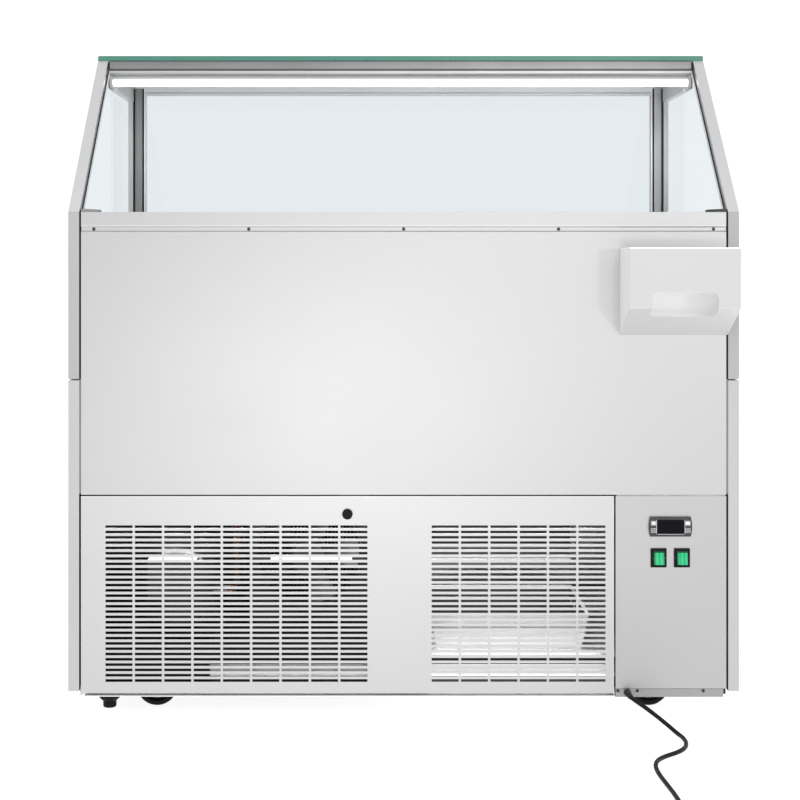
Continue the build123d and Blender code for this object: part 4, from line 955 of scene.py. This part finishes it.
class FREEZER_OT_canopy(bpy.types.Operator):
    """Posts, rails, gaskets and the lamp under the top glass"""

    bl_idname = "freezer.canopy"
    bl_label = "Canopy and lamp"

    def execute(self, context):
        _, finish, size = settings(context)
        metal = finish.aluminium
        dress("canopy_frame", self.post_finish(metal))
        dress("rear_top_rail", self.rail_finish(metal), size.sheet_edge)
        # Painted light: the channel is the rail aluminium made lighter
        channel = extruded(
            "channel_aluminium", shaded(metal, 2.2), DRAWN_ALONG_X, roughness=0.4, metallic=0.5
        )
        dress("lamp_channel", channel, size.sheet_edge)
        seals = moulded("gasket_rubber", finish.black, roughness=0.6)
        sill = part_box("sill_cap")[1]
        upper = past(seals, "Z", sill.z + 0.0005, soft=0.0005)
        painted_over(seals, (0.03, 0.03, 0.032), upper)
        # Painted highlight: the inner lip above the sill is painted pale
        lip = short_of(seals, from_middle(seals), sill.x + 0.0004)
        painted_over(seals, (0.66, 0.69, 0.70), upper, lip)
        dress("glass_gaskets", seals)
        caps = moulded("cap_plastic", (0.03, 0.03, 0.032), roughness=0.45)
        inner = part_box("lamp_end_caps")[1].x - 0.0019
        # Painted light: the caps are pale inside a dark rim, as if lit by the lamp
        painted_over(caps, (0.42, 0.42, 0.425), short_of(caps, from_middle(caps), inner))
        dress("lamp_end_caps", caps, size.sheet_edge, flat=False)
        dress("lamp_diffuser", self.opal(finish.lamp_glow))
        return {"FINISHED"}

    def post_finish(self, colour):
        """Posts in painted light and shade: a light outer lip, a darker recess with black slots of
        painted shade, and pale rails above.
        """
        metal = extruded(
            "post_aluminium", shaded(colour, 1.05), DRAWN_UPRIGHT, roughness=0.38, metallic=0.7
        )
        _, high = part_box("canopy_frame")
        across, height = from_middle(metal), along(metal, "Z")
        lip, wall = high.x - 0.013, high.x - 0.035
        edge = 2 * HAIR
        # Painted light: the outer lip and the inner edge are lighter
        painted_over(metal, shaded(colour, 1.95), past(metal, across, lip, soft=edge))
        painted_over(metal, shaded(colour, 3.2), short_of(metal, across, wall + 0.003, soft=edge))
        middle = short_of(metal, across, wall - HAIR)
        post = past(metal, "Y", high.y - 0.03545, soft=0.00015)
        post = all_of(metal, post, apart_from(metal, middle))
        reach = reckoned(metal, "MULTIPLY", post, 0.0300)
        foot = reckoned(metal, "ADD", high.z - 0.0562, reach)
        rails = reckoned(metal, "GREATER_THAN", height, foot)
        # Painted light: the rails above are pale
        painted_over(metal, shaded(colour, 2.8), rails)
        near = short_of(metal, "Y", high.y - 0.0251)
        recess = between(metal, across, wall + 0.003, lip)
        right_post = past(metal, "X", 0.405, soft=0.005)
        # Painted light: the right post's recess is lighter
        painted_over(metal, shaded(colour, 1.75), right_post, recess, near)
        groove = between(metal, height, high.z - 0.037, high.z - 0.034)
        # Painted light: a lighter band on the groove
        painted_over(metal, shaded(colour, 2.2), groove, middle, near)
        inner_slot = between(metal, across, wall + 0.0028, wall + 0.0066)
        outer_slot = between(metal, across, lip, high.x - 0.010)
        slots = reckoned(metal, "ADD", inner_slot, outer_slot)
        # Painted shade: the slots are black
        painted_over(metal, shaded(colour, 0.03), slots, apart_from(metal, rails), near)
        # Painted light: the far face in a tone of its own
        painted_over(metal, shaded(colour, 1.7), past(metal, "Y", high.y - 0.0010, soft=edge))
        return metal

    def rail_finish(self, colour):
        """Rear rail in painted light and shade: a dark groove, darker towards and along its top,
        and a lighter lower strip.
        """
        metal = extruded("rail_aluminium", shaded(colour, 0.92), DRAWN_ALONG_X, roughness=0.34)
        low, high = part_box("rear_top_rail")
        height = along(metal, "Z")
        strip, groove = low.z + 0.008, low.z + 0.012
        edge = 2 * HAIR
        # Painted shade towards the top and along the top edge, painted light on the lower strip,
        # painted shade in the groove
        painted_over(metal, shaded(colour, 0.72), ranged(metal, height, 0, 1, groove, high.z))
        painted_over(metal, shaded(colour, 0.25), past(metal, height, high.z - 0.0014, soft=edge))
        painted_over(metal, shaded(colour, 1.6), short_of(metal, height, strip, soft=edge))
        painted_over(metal, shaded(colour, 0.4), between(metal, height, strip, groove))
        return metal

    def opal(self, glow):
        """Lit diffuser, greyer towards its upper edge, with faint spots of the lamps inside."""
        cover = new_finish("lamp_opal", (0.90, 0.91, 0.92), roughness=0.35)
        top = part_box("lamp_diffuser")[1].z
        spots = ranged(cover, noise(cover, 1.0, (60, 1, 1), detail=1.0), 0.92, 1.08)
        fall = ranged(cover, along(cover, "Z"), glow, 0.04, top - 0.0088, top - 0.0068)
        shader = shader_of(cover)
        shader.inputs["Emission Color"].default_value = (1.0, 0.985, 0.96, 1.0)
        join(cover, all_of(cover, spots, fall), shader.inputs["Emission Strength"])
        grain = noise(cover, 1.0, (3, 900, 900), detail=1.0)
        bump_from(cover, grain, depth=0.00004, strength=0.3)
        colour_from(cover, mixed(cover, grain, (0.86, 0.87, 0.88), (0.94, 0.95, 0.96)))
        painted_over(cover, (0.58, 0.59, 0.60), past(cover, "Z", top - 0.0061, soft=0.0021))
        return cover


class FREEZER_OT_glass(bpy.types.Operator):
    """Panes with ground green edges"""

    bl_idname = "freezer.glass"
    bl_label = "Glass"

    def execute(self, context):
        _, finish, size = settings(context)
        front = self.clear("clear_pane", finish.glass_tint, bend=1.2)
        top = self.clear("pale_pane", (0.93, 0.95, 0.96), bend=1.45)
        side = self.clear("side_pane", (0.76, 0.795, 0.815), bend=1.03)
        ground = coated("ground_edge", finish.glass_edge, roughness=0.28, peel=700.0, depth=0.00004)
        self.pane("top_glass", Z, size.arris, [top, ground])
        self.pane("front_glass", Y, size.arris, [front, ground])
        self.pane("side_glass_left", X, size.arris, [side, ground])
        self.pane("side_glass_right", X, size.arris, [side, ground])
        return {"FINISHED"}

    def clear(self, name, tint, bend):
        """Float glass with a faint haze of wiping; less bend mirrors less at a slant."""
        material = new_finish(name, tint, roughness=0.0, Transmission_Weight=1.0, IOR=bend)
        haze = noise(material, 3.0)
        roughness_from(material, ranged(material, haze, 0.0, 0.012, 0.45, 0.75))
        return material

    def pane(self, name, axis, arris, finishes):
        """The CAD pane with its arrises taken off and its edges apart from its faces."""
        bm = node_mesh(name)
        square = math.radians(60)
        sharp = [edge for edge in bm.edges if edge.calc_face_angle(0) > square]
        bmesh.ops.bevel(
            bm,
            geom=sharp,
            offset=arris,
            segments=1,
            profile=0.5,
            affect="EDGES",
            clamp_overlap=True,
        )
        bm.normal_update()
        for face in bm.faces:
            face.material_index = 0 if abs(face.normal.dot(axis)) > 0.9 else 1
        piece = name.replace("glass", "pane")
        finish_piece(bm, piece, finishes, [name], math.radians(10))


class FREEZER_OT_grille(bpy.types.Operator):
    """Slotted panel of the machine bay and its latch"""

    bl_idname = "freezer.grille"
    bl_label = "Grille panel"

    def execute(self, context):
        finish = context.scene.freezer_finish
        steel = brushed("grille_steel", shaded(finish.steel, 1.075), edge=0.0)
        _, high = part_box("grille_panel")
        # Painted highlight: lighter bands along the top and right edges
        for axis, end in (("Z", high.z), ("X", high.x)):
            fold_highlight = past(steel, axis, end - 0.0014, soft=0.0002)
            painted_over(steel, shaded(finish.steel, 1.35), fold_highlight)
        dress("grille_panel", steel, edge=0.0003)
        dress("grille_latch", moulded("latch_plastic", finish.black, roughness=0.45))
        return {"FINISHED"}


KEYS = ("key_upper_left", "key_lower_left", "key_upper_right", "key_lower_right")
KEY_LINE = 0.0006


class FREEZER_OT_controls(bpy.types.Operator):
    """Temperature controller and lit rocker switches"""

    bl_idname = "freezer.controls"
    bl_label = "Controls"

    def execute(self, context):
        finish = context.scene.freezer_finish
        housing = moulded("controller_grey", (0.05, 0.05, 0.053), roughness=0.4)
        dress("controller_housing", housing, edge=0.0004, flat=False)
        dark = (0.004, 0.004, 0.005)
        window = new_finish("display_window", dark, roughness=0.08, Specular_IOR_Level=0.05)
        roughness_from(window, ranged(window, noise(window, 60.0), 0.1, 0.22))
        dress("controller_window", window)
        pale = moulded("pale_key_silicone", (0.60, 0.60, 0.61), roughness=0.5)
        dull = moulded("grey_key_silicone", (0.24, 0.24, 0.245), roughness=0.5)
        for name in KEYS:
            dress(name, pale if "upper" in name else dull, edge=0.0003, flat=False)
        self.controller_lines()
        bezel = moulded("bezel_black", finish.black, roughness=0.4)
        dress("switch_bezels", bezel, edge=0.0005, flat=False)
        for name in ("rocker_left", "rocker_right"):
            dress(name, self.lit_green(name, finish), edge=0.0004, flat=False)
        return {"FINISHED"}

    def controller_lines(self):
        """Pale lines round the keys and beside the window, just proud of the housing."""
        pale = coated("controller_print", (0.55, 0.55, 0.56), roughness=0.5)
        low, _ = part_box("controller_housing")
        front, back = low.y - HAIR, low.y + 2 * HAIR
        line = KEY_LINE
        bm = bmesh.new()

        def bar(x0, x1, z0, z1):
            add_box(bm, (x0, front, z0), (x1, back, z1))

        for name in KEYS:
            key_low, key_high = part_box(name)
            x0, x1 = key_low.x - line, key_high.x + line
            z0, z1 = key_low.z - line, key_high.z + line
            bar(x0 - line, x0, z0 - line, z1 + line)
            bar(x1, x1 + line, z0 - line, z1 + line)
            bar(x0, x1, z0 - line, z0)
            bar(x0, x1, z1, z1 + line)
        low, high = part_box("controller_window")
        for x in (low.x - 3 * line, high.x + 2 * line):
            bar(x, x + line, low.z, high.z)
        bar(low.x, high.x, low.z - 2 * line, low.z - line)
        finish_piece(bm, "controller_lines", [pale])

    def lit_green(self, name, finish):
        """Green lens lit by its lamp, with paler upright bars in the glow as painted highlights,
        and darker along two edges.
        """
        green = finish.rocker
        lens = new_finish(f"{name}_green", green, roughness=0.3, Specular_IOR_Level=0.2)
        low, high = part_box(name)
        beside = past(lens, "X", low.x + 0.0041, soft=0.0015)
        lit = all_of(lens, beside, short_of(lens, "Z", high.z - 0.0037, soft=0.0011))
        # Painted highlight: paler upright bars in the glow
        bars = add_node(lens, "ShaderNodeTexWave", Scale=1.0, Distortion=0.8, Detail=1.0)
        join(lens, place_of(lens, (42, 1, 1)), bars.inputs["Vector"])
        shader = shader_of(lens)
        tone = mixed(lens, bars.outputs["Fac"], (0.003, 0.41, 0.14), (0.045, 0.60, 0.28))
        join(lens, tone, shader.inputs["Emission Color"])
        glow = reckoned(lens, "MULTIPLY", lit, finish.rocker_glow)
        join(lens, glow, shader.inputs["Emission Strength"])
        cloud = noise(lens, 160.0, detail=2.0)
        dull, bright = shaded(green, 0.8), shaded(green, 1.2)
        colour_from(lens, mixed(lens, cloud, dull, bright))
        return lens


# How far the tray's sole falls for each metre towards the cabinet
TRAY_FALL = 0.4857


class FREEZER_OT_scoop_tray(bpy.types.Operator):
    """Folded tray for the scoops, with painted light and a painted highlight"""

    bl_idname = "freezer.scoop_tray"
    bl_label = "Scoop tray"

    def execute(self, context):
        base = context.scene.freezer_finish.steel
        steel = brushed("tray_steel", shaded(base, 1.07), roughness=0.5, metallic=0.35)
        low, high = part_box("scoop_tray")
        across, depth, height = (along(steel, axis) for axis in "XYZ")
        # Painted light on the left side face
        side = short_of(steel, across, low.x + 0.0007)
        painted_over(steel, shaded(base, 1.9), side, past(steel, depth, low.y + 0.0009))
        # Painted light on the sloping sole
        fallen = reckoned(steel, "MULTIPLY", depth, TRAY_FALL)
        slope = reckoned(steel, "ADD", height, fallen)
        sole = low.z + high.y * TRAY_FALL
        painted_over(steel, shaded(base, 1.44), short_of(steel, slope, sole + 0.0005))
        # Painted light inside, a little darker on the back wall
        inside = hollow_of(steel, low, high, wall=0.0012)
        inside = all_of(steel, inside, past(steel, slope, sole + 0.0009))
        painted_over(steel, grey(0.92), inside)
        back = past(steel, depth, high.y - 0.00185, soft=0.00005)
        painted_over(steel, grey(0.78), inside, back)
        # Painted highlight along the top edge
        painted_over(steel, grey(0.95), past(steel, height, high.z - 0.00145, soft=0.00015))
        dress("scoop_tray", steel, edge=0.0005)
        return {"FINISHED"}


class FREEZER_OT_machine_bay(bpy.types.Operator):
    """Compressor, condenser, fan, lines and evaporation pan"""

    bl_idname = "freezer.machine_bay"
    bl_label = "Machine bay"

    def execute(self, context):
        black = context.scene.freezer_finish.black
        dress("compressor", self.compressor_enamel())
        dress("compressor_feet", moulded("foot_rubber", black, roughness=0.7))
        dress("condenser", coated("fin_enamel", (0.02, 0.02, 0.021), roughness=0.5))
        dress("fan_shroud", self.shroud_enamel())
        dress("fan_motor", coated("motor_enamel", (0.022, 0.022, 0.024), roughness=0.4))
        blade = extruded("blade_aluminium", (0.12, 0.12, 0.125), (60, 60, 60), roughness=0.45)
        dress("fan_blade", blade)
        # Painted shade: the lines' copper is darkened
        dress("refrigerant_lines", copper_finish("line_copper", share=0.14))
        dress("evaporation_pan", self.pan_enamel())
        return {"FINISHED"}

    def pan_enamel(self):
        """White enamel, with painted shade in the hollow, and a painted shadow line under a painted
        highlight line.
        """
        pan = coated("pan_enamel", (0.78, 0.78, 0.776), roughness=0.4)
        low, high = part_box("evaporation_pan")
        inside = hollow_of(pan, low, high, wall=0.002, taper=0.013 / (high.z - low.z))
        # Painted shadow line, painted shade in the hollow, then a painted highlight line
        banded(pan, high.z, ((-0.0268, -0.0248, 0.12),))
        painted_over(pan, PAINTED_BAY_SHADE, inside, short_of(pan, "Z", high.z - 0.0060, soft=0.0002))
        banded(pan, high.z, ((-0.0246, -0.0224, 0.95),))
        return pan

    def compressor_enamel(self):
        """Black enamel, with the terminal box's lid painted pale as a painted highlight."""
        black = (0.012, 0.012, 0.014)
        enamel = coated("compressor_enamel", black, roughness=0.22, peel=500.0, depth=0.00006)
        low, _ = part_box("compressor")
        box = short_of(enamel, "Y", low.y + 0.0305, soft=0.0005)
        # Painted highlight on the lid
        lid = between(enamel, "Z", 0.2657, 0.2742)
        painted_over(enamel, grey(0.8), box, lid)
        return enamel

    def shroud_enamel(self):
        """Black enamel, with a pale bar painted in front of the motor as a painted highlight."""
        enamel = coated("shroud_enamel", (0.02, 0.02, 0.022), roughness=0.4)
        low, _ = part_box("fan_shroud")
        # Painted highlight: a pale bar on the shroud's front
        bar = short_of(enamel, "Y", low.y + 0.005, soft=0.001)
        span = between(enamel, "X", low.x + 0.048, low.x + 0.205)
        painted_over(enamel, grey(0.82), bar, span)
        return enamel


HUB_RADIUS = 0.0240


class FREEZER_OT_casters(bpy.types.Operator):
    """Swivel casters"""

    bl_idname = "freezer.casters"
    bl_label = "Casters"

    def execute(self, context):
        black = context.scene.freezer_finish.black
        zinc = spangled("caster_zinc", (0.5, 0.5, 0.49), roughness=0.32)
        dress("caster_plates", zinc)
        for corner in ("rear_left", "rear_right", "front_left", "front_right"):
            dress(f"caster_fork_{corner}", zinc)
            self.wheel(f"caster_wheel_{corner}", black)
        return {"FINISHED"}

    def wheel(self, name, black):
        """Black rubber tyre on a grey nylon hub."""
        rubber = moulded(f"{name}_rubber", black, roughness=0.55)
        low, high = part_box(name)
        reach = 0.0
        for axis, middle in (("X", (low.x + high.x) / 2), ("Z", (low.z + high.z) / 2)):
            away = reckoned(rubber, "SUBTRACT", along(rubber, axis), middle)
            reach = reckoned(rubber, "ADD", reach, reckoned(rubber, "MULTIPLY", away, away))
        reach = reckoned(rubber, "SQRT", reach)
        hub = short_of(rubber, reach, HUB_RADIUS, soft=0.0002)
        painted_over(rubber, (0.16, 0.16, 0.165), hub)
        dress(name, rubber)


# Shares of a screw head's radius at the rings of its face
HEAD_RINGS = (0.06, 0.14, 0.22, 0.30, 0.38, 0.46, 0.54, 0.62, 0.72, 0.84, 0.93, 0.98, 1.0)
HEAD_STEPS = 64
# Fall of the head's rim and depth of its cross, as shares of the head's depth
HEAD_FALL, CROSS_DEPTH = 0.55, 0.55
# Half width and reach of the cross, as shares of the head's radius
CROSS_WIDTH, CROSS_REACH = 0.13, 0.58


class FREEZER_OT_fasteners(bpy.types.Operator):
    """Panel screws and the cord's gland"""

    bl_idname = "freezer.fasteners"
    bl_label = "Fasteners"

    def execute(self, context):
        black = context.scene.freezer_finish.black
        steel = extruded("screw_steel", (0.06, 0.06, 0.064), (900, 900, 900), roughness=0.32)
        self.screws(steel)
        dress("cord_gland", moulded("gland_plastic", black, roughness=0.45))
        return {"FINISHED"}

    def screws(self, steel):
        """Pan heads with a cross recess, one over each screw of the CAD."""
        source = node_mesh("panel_screws")
        bm = bmesh.new()
        left = set(source.verts)
        for first in source.verts:
            if first not in left:
                continue
            left.remove(first)
            group, waiting = [], [first]
            while waiting:
                vertex = waiting.pop()
                group.append(vertex.co)
                beside = {edge.other_vert(vertex) for edge in vertex.link_edges} & left
                left -= beside
                waiting += beside
            low = Vector([min(axis) for axis in zip(*group)])
            high = Vector([max(axis) for axis in zip(*group)])
            self.head(bm, low, high)
        source.free()
        finish_piece(bm, "panel_screw_heads", [steel], ["panel_screws"])

    def head(self, bm, low, high):
        """One head whose face looks towards -Y."""
        middle = (low + high) / 2
        radius, depth = (high.x - low.x) / 2, high.y - low.y
        centre = Vector((middle.x, high.y, middle.z))
        profile = [(0.0, depth)]
        profile += [(radius * ring, depth * (1.0 - HEAD_FALL * ring**3)) for ring in HEAD_RINGS]
        profile += [(radius, 0.0), (0.0, 0.0)]
        first = len(bm.verts)
        add_lathe(bm, profile, centre, -Y, HEAD_STEPS)
        bm.verts.ensure_lookup_table()
        for vertex in bm.verts[first:]:
            across, up = abs(vertex.co.x - centre.x), abs(vertex.co.z - centre.z)
            raised = vertex.co.y < centre.y - 0.3 * depth
            narrow = min(across, up) < CROSS_WIDTH * radius
            if raised and narrow and max(across, up) < CROSS_REACH * radius:
                vertex.co.y += CROSS_DEPTH * depth


# Each light's place, the point that it looks at, its width and height, and its power's setting
LIGHTS = {
    "key_light": ((-0.19, -5.2, 0.14), (-0.19, 0.0, 0.14), (1.4, 0.22), "key_power"),
    "high_light": ((0.80, -4.3, 2.30), (0.30, -0.27, 0.80), (0.5, 0.5), "high_power"),
    "side_light": ((1.85, -4.3, 0.95), (0.38, -0.27, 0.79), (0.25, 0.25), "side_power"),
    "floor_light": ((0.0, -1.5, 3.2), (0.0, -1.1, 0.0), (2.4, 1.2), "pool_power"),
    "lip_light": ((0.205, -0.2568, 0.078), (0.205, 0.0, 0.078), (0.32, 0.066), "lip_power"),
    "bay_light": ((-0.1, -0.250, 0.392), (-0.1, -0.190, 0.100), (0.92, 0.02), "bay_power"),
}
WHITE = (1.0, 1.0, 1.0, 1.0)


class FREEZER_OT_stage(bpy.types.Operator):
    """Camera, pale floor and soft light"""

    bl_idname = "freezer.stage"
    bl_label = "Stage"

    def execute(self, context):
        stage = context.scene.freezer_stage
        scene = context.scene
        scene.view_settings.view_transform = "Standard"
        lens = bpy.data.cameras.new("camera")
        lens.lens = stage.lens
        lens.shift_x, lens.shift_y = stage.shift
        lens.clip_end = 100.0
        camera = bpy.data.objects.new("camera", lens)
        camera.location = stage.camera_place
        camera.rotation_euler = (math.radians(90), 0.0, 0.0)
        scene.collection.objects.link(camera)
        scene.camera = camera
        self.floor(scene, stage)
        world = bpy.data.worlds.new("white_surroundings")
        world.use_nodes = True
        background = world.node_tree.nodes["Background"]
        background.inputs["Color"].default_value = WHITE
        background.inputs["Strength"].default_value = stage.sky
        scene.world = world
        for name, (place, target, size, power) in LIGHTS.items():
            self.light(scene, name, place, target, size, getattr(stage, power))
        return {"FINISHED"}

    def floor(self, scene, stage):
        """Pale floor that fades into the white surroundings."""
        bm = bmesh.new()
        bmesh.ops.create_grid(bm, x_segments=1, y_segments=1, size=stage.floor_size / 2)
        mesh = bpy.data.meshes.new("floor")
        bm.to_mesh(mesh)
        bm.free()
        colour = stage.floor_colour
        pale = new_finish("pale_floor", colour, roughness=0.7)
        cloud = ranged(pale, noise(pale, 1.5), 0, 1)
        colour_from(pale, mixed(pale, cloud, shaded(colour, 0.99), colour))
        shader_of(pale).inputs["Emission Color"].default_value = WHITE
        shader_of(pale).inputs["Emission Strength"].default_value = stage.floor_glow
        mesh.materials.append(pale)
        floor = bpy.data.objects.new("floor", mesh)
        scene.collection.objects.link(floor)

    def light(self, scene, name, place, target, size, power):
        """Rectangular soft light aimed at a point."""
        lamp = bpy.data.lights.new(name, "AREA")
        lamp.shape = "RECTANGLE"
        lamp.size, lamp.size_y = size
        lamp.energy = power
        lit = bpy.data.objects.new(name, lamp)
        lit.visible_camera = False
        lit.location = place
        way = Vector(target) - Vector(place)
        lit.rotation_euler = way.to_track_quat("-Z", "Y").to_euler()
        scene.collection.objects.link(lit)


OPERATORS = (
    FREEZER_OT_stage,
    FREEZER_OT_cord,
    FREEZER_OT_panels,
    FREEZER_OT_sides,
    FREEZER_OT_base,
    FREEZER_OT_tub,
    FREEZER_OT_canopy,
    FREEZER_OT_glass,
    FREEZER_OT_grille,
    FREEZER_OT_controls,
    FREEZER_OT_scoop_tray,
    FREEZER_OT_machine_bay,
    FREEZER_OT_casters,
    FREEZER_OT_fasteners,
)


class FREEZER_PT_sidebar(bpy.types.Panel):
    """Lists the settings and the steps"""

    bl_idname = "FREEZER_PT_sidebar"
    bl_label = "Display freezer"
    bl_space_type = "VIEW_3D"
    bl_region_type = "UI"
    bl_category = "Freezer"

    def draw(self, context):
        for group in settings(context):
            box = self.layout.box()
            for name in group.bl_rna.properties.keys():
                if name not in ("rna_type", "name"):
                    box.prop(group, name)
        for step in OPERATORS:
            self.layout.operator(step.bl_idname)


GROUPS = {
    "freezer_stage": FreezerStageSettings,
    "freezer_finish": FreezerFinishSettings,
    "freezer_size": FreezerSizeSettings,
}
CLASSES = (*GROUPS.values(), *OPERATORS, FREEZER_PT_sidebar)


def register():
    """Makes the classes and the scene's settings known."""
    for made in CLASSES:
        bpy.utils.register_class(made)
    for name, group in GROUPS.items():
        setattr(bpy.types.Scene, name, PointerProperty(type=group))


def unregister():
    """Takes the settings and the classes away again."""
    for name in GROUPS:
        delattr(bpy.types.Scene, name)
    for made in reversed(CLASSES):
        bpy.utils.unregister_class(made)


def main():
    """Builds all the pieces in order."""
    register()
    for step in OPERATORS:
        group, name = step.bl_idname.split(".")
        getattr(getattr(bpy.ops, group), name)()


if __name__ == "__main__":
    main()
